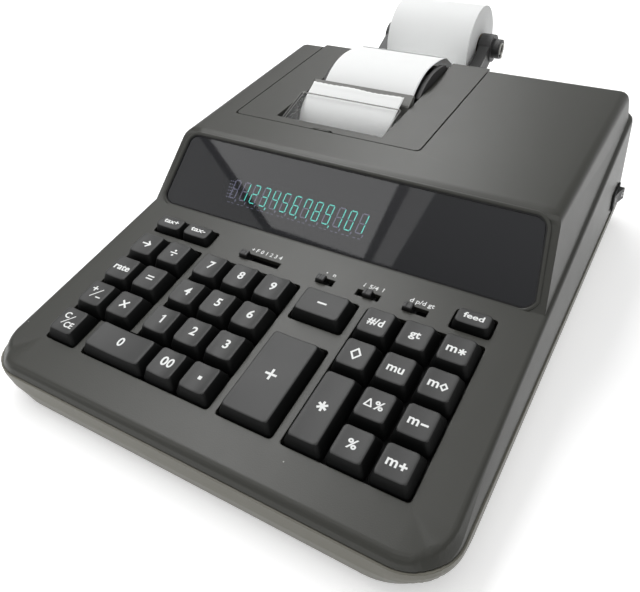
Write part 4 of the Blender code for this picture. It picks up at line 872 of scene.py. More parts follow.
class Finishes:
    """The machine's finishes, each made once."""

    def __init__(self) -> None:
        """Make every finish."""
        groups = EffectGroups()
        low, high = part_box("paper_roll")
        axis = (low + high) / 2

        def made(name: str, tone: Tone, roughness: float, kind: type = Finish, **more: float) -> Material:
            """Make one finish of its kind."""
            return kind(name, tone, roughness, **more).make(groups)

        moulded = {"grain_size": 1900, "specks": 0.05, "edge": 0.0006}
        fine = {"grain_size": 3400, "mottle": 0.07}
        coarse = {"grain_size": 2200}
        sheet = {"grain": 0.1, "grain_size": 1500, "mottle": 0.03}
        turns = {**sheet, "axis_y": axis.y, "axis_z": axis.z}
        self.case = made("MouldedCase", Tone.CASE, 0.36, grain=0.30, mottle=0.05, **moulded)
        moulded.update(specks=0.03, edge=0.0005)
        # The lower case: its grey is lightened to paint the floor's bounce on its walls.
        self.tray = made("MouldedTray", Tone.TRAY, 0.42, grain=0.32, mottle=0.06, **moulded)
        self.key_top = made("KeyTopPlastic", Tone.KEY_TOP, 0.46, grain=0.16, specks=0.03, **fine)
        # Flanks of the keycaps: a darker copy of the top's plastic, painted shade.
        self.key_side = made("KeySidePlastic", Tone.KEY_SIDE, 0.5, grain=0.12, specular=0.25, **fine)
        self.knob = made("KnobPlastic", Tone.KNOB, 0.40, grain=0.16, **fine)
        self.bar = made("BarPlastic", Tone.BAR, 0.45, grain=0.25, mottle=0.06, **coarse)
        self.inner = made("InnerPlastic", Tone.ARM, 0.55, grain=0.3, edge=0.0003, **coarse)
        # Dark inner parts, and the dark pieces that paint shade in gaps, slots and seams.
        self.liner_and_shade = made("DarkLiner", Tone.LINER_AND_SHADE, 0.7, grain=0.2, **coarse)
        self.arm = made("ArmPlastic", Tone.ARM, 0.45, grain=0.28, mottle=0.07, edge=0.0005, **coarse)
        self.ink = made("PrintedInk", Tone.INK, 0.55, mottle=0.05)
        self.window = made(
            "SmokedPane", Tone.SMOKE, 0.03, mottle=0.02, opacity=0.80, specular=0.6, edge=0.0003
        )
        self.clear = made("ClearSheet", Tone.CLEAR, 0.08, ClearPlastic, mottle=0.03, opacity=0.05, rim=0.55)
        # The tube's face glows: painted light.
        self.haze = made("TubeHaze", Tone.MESH, 0.20, mottle=0.10, glow=38.0)
        self.lit = made("LitPhosphor", Tone.PHOSPHOR, 0.5, mottle=0.04, glow=18.0)
        # Segments that are off glow: painted light.
        self.unlit = made("UnlitPhosphor", Tone.UNLIT, 0.5, mottle=0.05, glow=13.0)
        self.paper = made("RollPaper", Tone.PAPER, 0.78, **sheet)
        self.roll = made("WoundPaper", Tone.PAPER, 0.78, RolledPaper, **turns)
        self.core = made("CoreBoard", Tone.CORE, 0.8, grain=0.5, grain_size=900, mottle=0.2)
        self.rubber = made("BlackRubber", Tone.RUBBER, 0.75, grain=0.4, grain_size=1400, mottle=0.1)
        self.steel = made("BrightSteel", Tone.STEEL, 0.30, mottle=0.12, metallic=1.0, edge=0.0002)
        self.nylon = made("PaleNylon", Tone.NYLON, 0.42, grain=0.08)
        self.ribbon = made("InkedRibbon", Tone.RIBBON, 0.7, mottle=0.2, grain=0.5, grain_size=5200)
        self.wire_red = made("RedSleeve", Tone.WIRE_RED, 0.4)
        self.wire_blue = made("BlueSleeve", Tone.WIRE_BLUE, 0.4)
        self.laminate = made("BoardLaminate", Tone.LAMINATE, 0.38, mottle=0.25, grain=0.1)
        self.chip = made("ChipPlastic", Tone.CHIP, 0.45)
        self.floor = made("StudioFloor", Tone.FLOOR, 0.85, StudioFloor, mottle=0.01, specular=0.2)


# Sub-assemblies


@dataclass
class SubAssembly:
    """A named part of the machine that builds its pieces and dresses its nodes."""

    look: Finishes
    nodes: dict[str, Piece]
    made: list[Piece] = field(default_factory=list)

    def dress(self, name: str, material: Material) -> None:
        """Give a node of the frame its finish."""
        node = self.nodes[name]
        node.data.materials.clear()
        node.data.materials.append(material)

    def add(
        self, name: str, body: Shape, material: Material | Sequence[Material], rides: str,
        slot: str | None = None, place: Matrix | None = None, sharp: float = 35.0,
    ) -> Piece:
        """Finish a piece, let it ride on a body, and note it for the report.

        Args:
            name: Name of the piece.
            body: Its shape, which is freed.
            material: Its finish, or one for each material index of its faces.
            rides: The body that it moves with.
            slot: The record's material slot, where the piece has one; not used.
            place: Matrix that sets the shape in its place, or None for the case's frame.
            sharp: Angle in degrees over which an edge stays sharp.

        Returns:
            The finished piece.
        """
        piece = finish_mesh(name, body, material, FRAMES.case() if place is None else place, sharp)
        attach(piece, rides)
        self.made.append(piece)
        return piece

    def touch(self, name: str, start: Point, way: Point) -> tuple[Vector, Vector]:
        """Where a straight line first meets a node's surface.

        Args:
            name: Node of the frame.
            start: Start of the line in the case's frame, in millimetres.
            way: Its direction.

        Returns:
            The point met, in the case's frame, and the surface's normal there.
        """
        mesh = self.nodes[name].data
        tree = BVHTree.FromPolygons(
            [vert.co for vert in mesh.vertices], [tuple(face.vertices) for face in mesh.polygons]
        )
        case = FRAMES.case()
        spot, normal, _, _ = tree.ray_cast(case @ (Vector(start) * MM), Vector(way).normalized())
        return case.inverted() @ spot, normal

    def report(self) -> None:
        """Log every piece of this sub-assembly."""
        for piece in self.made:
            log.info("%s: %s, %d faces", type(self).__name__, piece.name, len(piece.data.polygons))


@dataclass
class Stroke:
    """One straight stroke of a symbol: its middle, size and angle, in millimetres and degrees."""

    x: float
    y: float
    length: float
    angle: float
    width: float


@dataclass
class Legend:
    """What is printed on one keycap, in millimetres.

    Attributes:
        words: Groups of letters, each as text, X, Y, height and width (0 keeps the width).
        strokes: Straight strokes.
        dots: Round dots, each as X, Y and radius.
        shift: How far towards the back the whole legend stands.
    """

    words: tuple[tuple[str, float, float, float, float], ...] = ()
    strokes: tuple[Stroke, ...] = ()
    dots: tuple[tuple[float, float, float], ...] = ()
    shift: float = 0.0


def digit(sign: str, *strokes: Stroke) -> Legend:
    """A number key's legend."""
    return Legend(words=((sign, 0, 0, 4.6, 0),), strokes=strokes, shift=0.8)


def word(words: str, height: float, width: float, y: float = 0, shift: float = 0.0) -> Legend:
    """A key's legend of a few letters."""
    return Legend(words=((words, 0, y, height, width),), shift=shift)


def cross(x: float, y: float, length: float, angle: float, width: float) -> tuple[Stroke, ...]:
    """Two strokes across each other."""
    return (Stroke(x, y, length, angle, width), Stroke(x, y, length, angle + 90, width))


def star(x: float, y: float, length: float, width: float) -> tuple[Stroke, ...]:
    """Three strokes across each other."""
    return tuple(Stroke(x, y, length, angle, width) for angle in (90, 30, -30))


def diamond(x: float, y: float, reach_x: float, reach_y: float, width: float) -> tuple[Stroke, ...]:
    """Four strokes round an upright diamond.

    Args:
        x, y: Middle of the diamond.
        reach_x, reach_y: From its middle to its corners.
        width: Width of the strokes.

    Returns:
        The strokes.
    """
    length = math.hypot(reach_x, reach_y) + width * 0.7
    angle = math.degrees(math.atan2(reach_y, reach_x))
    return tuple(
        Stroke(x + side_x * reach_x / 2, y + side_y * reach_y / 2, length, -angle * side_x * side_y, width)
        for side_x in (-1, 1)
        for side_y in (-1, 1)
    )


def memory(*strokes: Stroke) -> Legend:
    """A memory key's letter, with the strokes of its sign beside it."""
    return Legend(words=(("m", -1.8, 0.2, 4.2, 4.4),), strokes=strokes)


LEGENDS: dict[str, Legend] = {
    **{"key_" + sign: digit(sign) for sign in ("2", "3", "4", "5", "6", "7", "8", "9", "0", "00")},
    "key_1": digit("1", Stroke(-0.7, 1.5, 1.5, 40, 0.5)),
    "key_point": Legend(strokes=(Stroke(0, 0, 1.7, 0, 1.7),)),
    "key_clear": Legend(
        words=(("C", -2.6, 2.4, 3.3, 0), ("CE", 2.0, -2.3, 3.2, 0)),
        strokes=(Stroke(-0.6, 0.2, 7.2, 52, 0.5),),
    ),
    "key_sign": Legend(
        strokes=(*cross(-2.5, 2.1, 3.0, 0, 0.7), Stroke(0, 0, 7.2, 52, 0.55), Stroke(2.6, -2.2, 3.0, 0, 0.7))
    ),
    "key_multiply": Legend(strokes=cross(0, 0, 5.3, 45, 0.95)),
    "key_rate": word("rate", 3.9, 9.4, y=0.3),
    "key_equals": Legend(strokes=(Stroke(0, 0.85, 4.0, 0, 0.75), Stroke(0, -0.85, 4.0, 0, 0.75))),
    "key_arrow": Legend(
        strokes=(
            Stroke(-0.2, 0, 4.8, 0, 0.9), Stroke(1.3, 0.85, 3.2, -45, 0.95),
            Stroke(1.3, -0.85, 3.2, 45, 0.95),
        )
    ),
    "key_divide": Legend(strokes=(Stroke(0, 0, 4.2, 0, 0.7),), dots=((0, 1.6, 0.62), (0, -1.6, 0.62))),
    "key_percent": word("%", 4.1, 4.2),
    "key_memory_plus": memory(*cross(2.6, -0.5, 3.1, 0, 0.9)),
    "key_delta_percent": Legend(
        words=(("%", 1.8, 0, 3.9, 3.9),),
        strokes=(
            Stroke(-2.5, -1.6, 3.5, 0, 0.62), Stroke(-3.25, 0.0, 3.8, 66, 0.62),
            Stroke(-1.75, 0.0, 3.8, -66, 0.62),
        ),
    ),
    "key_memory_minus": memory(Stroke(2.6, -0.5, 3.1, 0, 0.9)),
    "key_subtotal": Legend(strokes=diamond(0, 0, 2.1, 2.7, 0.8)),
    "key_markup": word("mu", 4.1, 7.2, y=0.2),
    "key_memory_subtotal": memory(*diamond(2.5, -0.6, 1.35, 1.6, 0.7)),
    "key_date": word("#/d", 3.9, 7.4),
    "key_grand_total": word("gt", 3.9, 4.8, y=0.6),
    "key_memory_total": memory(*star(2.6, -0.6, 3.3, 0.75)),
    "key_total": Legend(strokes=star(0, 0, 4.6, 1.0)),
    "key_plus": Legend(strokes=cross(0, 0, 5.4, 0, 1.05)),
    "key_minus": Legend(strokes=(Stroke(0, 0, 4.6, 0, 0.95),)),
    "key_tax_plus": word("tax+", 3.0, 9.2, shift=0.9),
    "key_tax_minus": word("tax-", 3.0, 9.2, shift=0.9),
    "key_feed": word("feed", 2.9, 9.0, shift=0.7),
}


@dataclass
class Keyboard(SubAssembly):
    """The keycaps, hollowed for the finger, with their printed legends."""

    full_height: float = 5.6 * MM
    low_height: float = 4.2 * MM
    low_depth: float = 10.0 * MM
    broad_width: float = 20.0 * MM
    skirt: float = 2.2 * MM
    shoulder: float = 0.4 * MM
    taper: float = 1.9 * MM
    low_taper: float = 1.0 * MM
    corner: float = 1.9 * MM
    rim: float = 0.6 * MM
    stem: Numbers = mm(6.0, 4.0, 7.5)
    stem_edge: float = 0.5 * MM
    print_depth: float = 0.05 * MM
    print_sink: float = 0.01 * MM
    weight: float = 0.034
    cuts: int = 11
    top_normal: float = 0.62

    def cell(self, name: str) -> tuple[Matrix, float, float]:
        """Where a key stands and how large its skirt is.

        Args:
            name: Node of the key.

        Returns:
            The key's frame, and the width and depth of its skirt.
        """
        deck = FRAMES.deck()
        inverse = deck.inverted()
        points = [inverse @ vert.co for vert in self.nodes[name].data.vertices]
        low = Vector([min(point[axis] for point in points) for axis in range(3)])
        high = Vector([max(point[axis] for point in points) for axis in range(3)])
        middle = (low + high) / 2
        return deck @ Matrix.Translation((middle.x, middle.y, 0)), high.x - low.x, high.y - low.y

    def form(self, depth: float) -> tuple[float, float]:
        """Height of a keycap and the taper of its flanks, by the depth of its skirt."""
        low = depth < self.low_depth
        return (self.low_height, self.low_taper) if low else (self.full_height, self.taper)

    def scoop(self, name: str, width: float) -> float:
        """Depth of the hollow in a key's top."""
        if name[4:].isdigit() or name == "key_point":
            return Scoop.NUMBER.value * MM
        return (Scoop.BROAD if width > self.broad_width else Scoop.COMMAND).value * MM

    def sag(self, x: float, half: float, depth: float) -> float:
        """How far the top lies under the key's upper edges at a distance from its middle."""
        return -depth * max(0.0, 1 - (x / half) ** 2)

    def cap(self, name: str, width: float, depth: float) -> Shape:
        """Shape one keycap in its own frame.

        Args:
            name: Node of the key.
            width: Width of the skirt.
            depth: Depth of the skirt.

        Returns:
            The keycap and its stem, with its flanks under the second finish, a darker copy of the key
            plastic that paints their shade.
        """
        height, taper = self.form(depth)
        body = block((width, depth, height + self.skirt), (0, 0, (height - self.skirt) / 2))
        sliced(body, (0, 0, self.shoulder), (0, 0, 1))
        crown = [vert for vert in body.verts if vert.co.z > height / 2]
        bmesh.ops.scale(body, vec=((width - 2 * taper) / width, (depth - 2 * taper) / depth, 1), verts=crown)
        upright = [edge for edge in body.edges if abs(edge.verts[0].co.z - edge.verts[1].co.z) > 0.5 * MM]
        eased(body, upright, self.corner, 5)
        bmesh.ops.remove_doubles(body, verts=body.verts, dist=DOUBLED)
        top = max(body.faces, key=lambda face: face.calc_center_median().z)
        eased(body, top.edges, self.rim, 3)
        body.normal_update()
        # Faces that look up keep the key's colour; the flanks get the darker copy, painted shade.
        for face in body.faces:
            face.material_index = 0 if face.normal.z > self.top_normal else 1
        half = width / 2 - taper
        for step in range(1, self.cuts):
            sliced(body, (-half + 2 * half * step / self.cuts, 0, 0), (1, 0, 0))
        hollow = self.scoop(name, width)
        for vert in body.verts:
            share = max(0.0, (vert.co.z - self.shoulder) / (height - self.shoulder))
            if share > 0.02:
                vert.co.z += self.sag(vert.co.x, half, hollow) * share
        stem = block(self.stem, (0, 0, -self.skirt - self.stem[2] / 2), self.stem_edge)
        for face in stem.faces:
            face.material_index = 1
        return merge((body, stem))

    def printing(self, name: str, width: float, depth: float) -> Shape:
        """Shape a key's legend so that it follows the hollowed top.

        Args:
            name: Node of the key.
            width: Width of the skirt.
            depth: Depth of the skirt.

        Returns:
            The legend in the key's frame.
        """
        height, taper = self.form(depth)
        half = width / 2 - taper
        legend = LEGENDS[name]
        thick = self.print_depth
        parts = []
        for words, x, y, size, fit in legend.words:
            parts.append(moved(wording(words, size * MM, thick, self.weight, fit * MM), mm(x, y, 0)))
        for stroke in legend.strokes:
            size = (stroke.length * MM, stroke.width * MM, thick)
            bar = block(size, (0, 0, thick / 2), turn=math.radians(stroke.angle))
            parts.append(moved(bar, (stroke.x * MM, stroke.y * MM, 0)))
        for x, y, radius in legend.dots:
            parts.append(moved(disc(radius * MM, thick, 20), mm(x, y, 0)))
        whole = merge(parts)
        hollow = self.scoop(name, width)
        for vert in whole.verts:
            vert.co.y += legend.shift * MM
            vert.co.z += height + self.sag(vert.co.x, half, hollow) - self.print_sink
        return whole

    def build(self) -> None:
        """Build every keycap with its legend, and dress the plate below."""
        both = (self.look.key_top, self.look.key_side)
        for name in LEGENDS:
            place, width, depth = self.cell(name)
            label = name.removeprefix("key_")
            body = self.cap(name, width, depth)
            cap = self.add("cap_" + label, body, both, name, "key_black", place, 40)
            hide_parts(name)
            body = self.printing(name, width, depth)
            self.add("legend_" + label, body, self.look.ink, name, None, place, 30)
        self.dress("key_plate", self.look.liner_and_shade)


@dataclass
class SlideSwitches(SubAssembly):
    """The four slide switches: ribbed knobs, and the lettering on the deck beside them."""

    knob: Numbers = mm(4.4, 3.3)
    height: float = 2.2 * MM
    seat: float = 0.06 * MM
    row: float = 106.0 * MM
    letter: float = 2.47 * MM
    weight: float = 0.02
    places_start: float = -32.3 * MM
    places_pitch: float = 2.68 * MM
    dot: Numbers = mm(10.0, 0.42)
    arrows: Numbers = mm(29.9, 39.3)
    shaft: Numbers = mm(0.35, 2.3)
    shaft_lean: float = math.radians(-8)
    tip: Numbers = mm(0.9, 0.8)
    tip_reach: float = 1.0 * MM
    print_depth: float = 0.04 * MM
    bodies: dict[str, str] = field(
        default_factory=lambda: {
            "decimal_slider": "decimal_knob", "count_slider": "count_knob",
            "rounding_slider": "rounding_knob", "total_slider": "total_knob",
        }
    )

    def ribbed(self) -> Shape:
        """Two finger ribs with a valley between them, on the knob's plain foot.

        Returns:
            The ribs and foot, round the origin.
        """
        width, depth = self.knob
        parts = [block((width, depth, self.height * 0.55), (0, 0, self.height * 0.275), 0.15 * MM)]
        for side in (-1, 1):
            size = (width * 0.40, depth, self.height * 0.62)
            parts.append(block(size, (side * width * 0.28, 0, self.height * 0.69), 0.22 * MM))
        return merge(parts)

    def arrow(self, x: float, way: int) -> list[Shape]:
        """A leaning shaft with a small arrow head.

        Args:
            x: Middle of the arrow.
            way: 1 for a head towards the back, -1 for one towards the front.

        Returns:
            The shaft and the head.
        """
        thick = self.print_depth
        shaft = block((*self.shaft, thick), (0, 0, thick / 2), turn=self.shaft_lean)
        head = block((*self.tip, thick), (0, 0, thick / 2))
        end = [vert for vert in head.verts if vert.co.y * way > 0]
        bmesh.ops.scale(head, vec=(0.05, 1, 1), verts=end)
        return [moved(shaft, (x, self.row, 0)), moved(head, (x, self.row + way * self.tip_reach, 0))]

    def lettering(self) -> Shape:
        """The marks beside the switches.

        Returns:
            The marks in the deck's frame.
        """
        marks = [
            (sign, self.places_start + index * self.places_pitch, self.letter, 0.0)
            for index, sign in enumerate("+F01234")
        ]
        marks += [
            ("n", 14.2 * MM, self.letter, 0.0), ("5/4", 34.6 * MM, self.letter, 4.4 * MM),
            ("d p/d gt", 58.4 * MM, self.letter * 1.05, 11.6 * MM),
        ]
        parts = [
            moved(wording(words, size, self.print_depth, self.weight, fit), (x, self.row, 0))
            for words, x, size, fit in marks
        ]
        spot, radius = self.dot
        parts.append(moved(disc(radius, self.print_depth, 16), (spot, self.row, 0)))
        for x, way in zip(self.arrows, (-1, 1)):
            parts += self.arrow(x, way)
        return merge(parts)

    def build(self) -> None:
        """Dress the knobs, cap them with ribs, and print the deck."""
        deck = FRAMES.deck()
        inverse = deck.inverted()
        for node, body in self.bodies.items():
            self.dress(node, self.look.knob)
            low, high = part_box(node)
            middle = inverse @ ((low + high) / 2)
            place = deck @ Matrix.Translation((middle.x, middle.y, self.seat))
            self.add(node + "_ribs", self.ribbed(), self.look.knob, body, "key_black", place)
        place = deck @ Matrix.Translation((0, 0, 0.01 * MM))
        self.add("deck_lettering", self.lettering(), self.look.ink, "case", None, place, 30)


@dataclass
class Display(SubAssembly):
    """The fluorescent display behind its smoked pane: lit segments, and segments that are off, which like
    the tube's face glow with painted light.
    """

    start_x: float = -65.9 * MM
    end_x: float = 16.8 * MM
    foot: float = 12.5 * MM
    digit_height: float = 9.8 * MM
    digit_width: float = 3.3 * MM
    stroke: float = 0.56 * MM
    lean: float = math.tan(math.radians(8))
    cells: int = 13
    number: str = "123456789101"
    commas: tuple[int, ...] = (3, 6, 9)
    level: float = -4.78 * MM
    sheet: float = 0.03 * MM
    comma: Rows = mm_points((-0.32, 0), (0.3, 0), (0.3, -0.5), (-0.15, -1.5), (-0.4, -1.5))
    dash: Numbers = mm(1.5, 0.3)
    mark: Numbers = mm(0.9, 0.45)
    mark_pitch: Numbers = mm(1.35, 1.75)
    mark_rows: int = 6
    pane: Numbers = mm(102.6, 39.6, 20.2)
    pane_corner: float = 5.0
    narrowing: float = 0.18
    haze: Numbers = mm(-68.0, 22.2, 7.6, 24.0)
    shown: dict[str, str] = field(
        default_factory=lambda: dict(
            zip("0123456789", "abcdef bc abged abgcd fgbc afgcd afgedc abcf abcdefg abcdfg".split())
        )
    )

    def segments(self) -> dict[str, tuple[float, float, float, bool]]:
        """Middle, length and direction of the seven strokes of a digit.

        Returns:
            X, Y, length, and whether the stroke is upright, by the usual letter.
        """
        half = self.digit_height / 2
        side = self.digit_width / 2
        return {
            "a": (0, self.digit_height, self.digit_width, False), "b": (side, half * 1.5, half, True),
            "c": (side, half * 0.5, half, True), "d": (0, 0, self.digit_width, False),
            "e": (-side, half * 0.5, half, True), "f": (-side, half * 1.5, half, True),
            "g": (0, half, self.digit_width, False),
        }

    def stroke_shape(self, x: float, y: float, length: float, upright: bool) -> Shape:
        """One leaning stroke with pointed ends.

        Args:
            x, y: Middle of the stroke, from the digit's foot.
            length: Length of the stroke.
            upright: Whether it runs up the digit.

        Returns:
            The stroke as a thin solid.
        """
        end = (length - self.stroke * 0.5) / 2
        half = self.stroke / 2
        lower = ((-end, 0), (half - end, -half), (end - half, -half))
        points = (*lower, *((-a, -b) for a, b in lower))
        if upright:
            points = tuple((-b, a) for a, b in points)
        body = moved(outline_plate(points, self.sheet), (x, y, 0))
        for vert in body.verts:
            vert.co.x += vert.co.y * self.lean
        return body

    def surround(self) -> None:
        """The raised lip round the pane, with a dark ring between them that paints the shadow of the gap."""
        half, height, middle = self.pane
        # The first ring is dark and paints the shadow in the gap round the pane.
        for name, grow, wall, top, material in (
            ("pane_seam_shadow", 0.5, 0.7, 0.05, self.look.liner_and_shade),
            ("pane_lip", 2.2, 1.8, 0.45, self.look.case),
        ):
            size = (2 * half + 2 * grow * MM, height + 2 * grow * MM)
            body = rounded_ring(size, (self.pane_corner + grow) * MM, wall * MM, -0.6 * MM, top * MM)
            for vert in body.verts:
                vert.co.x -= math.copysign((vert.co.y + height / 3) * self.narrowing, vert.co.x)
            moved(body, (0, middle, 0))
            if name == "pane_lip":
                level = (top - 0.01) * MM
                crown = [edge for edge in body.edges if min(vert.co.z for vert in edge.verts) > level]
                eased(body, crown, 0.4 * MM, 3)
            self.add(name, body, material, "case", "case_black", FRAMES.panel(), 50)

    def signs(self, x: float) -> list[Shape]:
        """The block of small marks before the first digit, which are off and later get a painted glow.

        Args:
            x: Middle of the block.

        Returns:
            The marks.
        """
        pitch_x, pitch_y = self.mark_pitch
        return [
            block((*self.mark, self.sheet), (x + column * pitch_x, self.foot + row * pitch_y, 0))
            for row in range(self.mark_rows)
            for column in (-1, 0, 1)
        ]

    def screen(self) -> Shape:
        """The tube's hazy face, behind the segments, which later gets a painted glow.

        Returns:
            The face as a thin sheet.
        """
        left, right, low, high = self.haze
        middle = ((left + right) / 2, (low + high) / 2, -2 * self.sheet)
        return block((right - left, high - low, self.sheet), middle, 0.01 * MM)

    def build(self) -> None:
        """Build the segments, the tube's hazy face and the pane's finish; the segments that are off and the
        face glow with painted light.
        """
        self.dress("display_window", self.look.window)
        self.dress("display_tube", self.look.liner_and_shade)
        pitch = (self.end_x - self.start_x) / self.cells
        lit = []
        # Segments and marks that are off get a finish that glows: painted light.
        unlit = self.signs(self.start_x + pitch * 0.1)
        for cell in range(self.cells):
            x = self.start_x + pitch * (cell + 0.42)
            shown = self.shown[self.number[cell - 1]] if cell else ""
            for letter, stroke in self.segments().items():
                part = moved(self.stroke_shape(*stroke), (x, self.foot, 0))
                (lit if letter in shown else unlit).append(part)
            comma = outline_plate(self.comma, self.sheet)
            moved(comma, (x + pitch * 0.42, self.foot - 0.3 * MM, 0))
            (lit if cell in self.commas else unlit).append(comma)
            for side in (-1, 1):
                spot = (x + side * 1.3 * MM, self.foot - 2.6 * MM, 0)
                unlit.append(block((*self.dash, self.sheet), spot))
        self.surround()
        place = FRAMES.panel() @ Matrix.Translation((0, 0, self.level))
        for name, body, material in (
            ("lit_segments", merge(lit), self.look.lit),
            ("unlit_segments_painted_glow", merge(unlit), self.look.unlit),
            ("tube_face_painted_glow", self.screen(), self.look.haze),
        ):
            self.add(name, body, material, "case", "tube_glass", place, 30)


@dataclass
class PaperPath(SubAssembly):
    """The roll on its core, and the strip from the roll to the torn slip."""

    thickness: float = 0.10 * MM
    columns: int = 46
    steps: int = 150
    curve_steps: int = 24
    torn_reach: float = 2.4 * MM
    core_bore: float = 6.35 * MM
    core_wall: float = 2.1 * MM
    core_inset: float = 0.4 * MM
    wound_step: float = 0.55 * MM
    wound_play: float = 0.16
    outer_back: float = 0.05 * MM
    seed: int = 7

    def middle_line(self) -> list[Vector]:
        """Middle line of the strip in Y and Z, taken from the frame's own strip.

        Returns:
            Points from the roll to the torn edge, in the world.
        """
        mesh = self.nodes["paper_strip"].data
        low = min(vert.co.x for vert in mesh.vertices)
        flank = [vert.co for vert in mesh.vertices if vert.co.x - low < 1e-5]
        left = [Vector(point) for point in sorted({(round(spot.y, 6), round(spot.z, 6)) for spot in flank})]
        middles = []
        while left:
            point = left.pop()
            partner = min(left, key=lambda other: (other - point).length)
            left.remove(partner)
            middles.append((point + partner) / 2)
        chain = [max(middles, key=lambda point: point.x)]
        middles.remove(chain[0])
        while middles:
            nearest = min(middles, key=lambda point: (point - chain[-1]).length)
            middles.remove(nearest)
            chain.append(nearest)
        return chain

    def smooth_line(self) -> list[Vector]:
        """A smooth curve through the middle line's points.

        Returns:
            Many points from the roll to the torn edge, unevenly spaced.
        """
        raw = self.middle_line()
        dense = []
        padded = [raw[0] * 2 - raw[1], *raw, raw[-1] * 2 - raw[-2]]
        for first, second, third, fourth in zip(padded, padded[1:], padded[2:], padded[3:]):
            for step in range(self.curve_steps):
                part = step / self.curve_steps
                slope = (third - first) * part
                bend = (first * 2 - second * 5 + third * 4 - fourth) * part**2
                twist = (second * 3 - first - third * 3 + fourth) * part**3
                dense.append(0.5 * (second * 2 + slope + bend + twist))
        return [*dense, raw[-1]]

    def even_line(self) -> list[Vector]:
        """The smooth curve as evenly spaced points.

        Returns:
            Points from the roll to the torn edge.
        """
        dense = self.smooth_line()
        lengths = [0.0]
        for before, after in zip(dense, dense[1:]):
            lengths.append(lengths[-1] + (after - before).length)
        line = []
        index = 0
        for step in range(self.steps + 1):
            goal = lengths[-1] * step / self.steps
            while index < len(lengths) - 2 and lengths[index + 1] < goal:
                index += 1
            span = lengths[index + 1] - lengths[index]
            line.append(dense[index].lerp(dense[index + 1], (goal - lengths[index]) / span))
        return line

    def torn(self, share: float) -> float:
        """How far the torn edge stands proud at a share of the paper's width."""
        slow = 0.30 * math.sin(5.1 * share + 0.6) + 0.22 * math.sin(13.0 * share + 2.1)
        return (slow + 0.16 * math.sin(101.0 * share)) * MM

    def strip(self) -> Shape:
        """The strip as one thin band with a torn end.

        Returns:
            The band without its thickness.
        """
        low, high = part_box("paper_strip")
        line = self.even_line()
        body = bmesh.new()
        points = [body.verts.new((low.x, point.x, point.y)) for point in line]
        edges = [body.edges.new(pair) for pair in zip(points, points[1:])]
        step = (high.x - low.x) / self.columns
        end = line[-1]
        way = (line[-1] - line[-2]).normalized()
        for column in range(self.columns + 1):
            for vert in points:
                near = max(0.0, 1 - (Vector((vert.co.y, vert.co.z)) - end).length / self.torn_reach)
                proud = self.torn(column / self.columns) * near
                vert.co.y += way.x * proud
                vert.co.z += way.y * proud
            if column == self.columns:
                break
            grown = bmesh.ops.extrude_edge_only(body, edges=edges)["geom"]
            fresh = set(corner_points(grown))
            points = [
                next(edge.other_vert(vert) for edge in vert.link_edges if edge.other_vert(vert) in fresh)
                for vert in points
            ]
            edges = [body.edges.get(pair) for pair in zip(points, points[1:])]
            for vert, place in zip(points, line):
                vert.co = (low.x + (column + 1) * step, place.x, place.y)
        bmesh.ops.recalc_face_normals(body, faces=body.faces)
        return body

    def roll(self, radius: float, half: float) -> Shape:
        """The wound paper, whose turns stand a little unevenly at both ends.

        Args:
            radius: Radius of the roll.
            half: Half of its width.

        Returns:
            The roll along Z, centred on the origin.
        """
        chance = random.Random(self.seed)
        inner = self.core_bore + self.core_wall
        count = int((radius - inner) / self.wound_step)
        ends = []
        for side in (-1, 1):
            edge = [(inner, side * half)]
            for turn in range(1, count):
                back = chance.uniform(0.0, self.wound_play) * MM
                edge.append((inner + turn * (radius - inner) / count, side * (half - back)))
            edge.append((radius, side * (half - self.outer_back)))
            ends.append(edge)
        profile = ends[0] + ends[1][::-1]
        return turned((*profile, profile[0]), 96)

    def build(self) -> None:
        """Build the roll, its core and the strip."""
        low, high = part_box("paper_roll")
        middle = (low + high) / 2
        radius = (high.z - low.z) / 2
        half = (high.x - low.x) / 2
        body = lay_along_x(self.roll(radius, half), middle)
        wound = self.add("wound_paper", body, self.look.roll, "roll", "paper", Matrix(), 50)
        reach = half - self.core_inset
        core = lay_along_x(ring_wall(self.core_bore + self.core_wall, self.core_bore, -reach, reach), middle)
        self.add("roll_core", core, self.look.core, "roll", "paper", Matrix())
        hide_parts("paper_roll")
        band = self.add("paper_band", self.strip(), self.look.paper, "case", "paper", Matrix(), 60)
        thick = band.modifiers.new("paper_thickness", "SOLIDIFY")
        thick.thickness = self.thickness
        thick.offset = 0.0
        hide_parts("paper_strip")


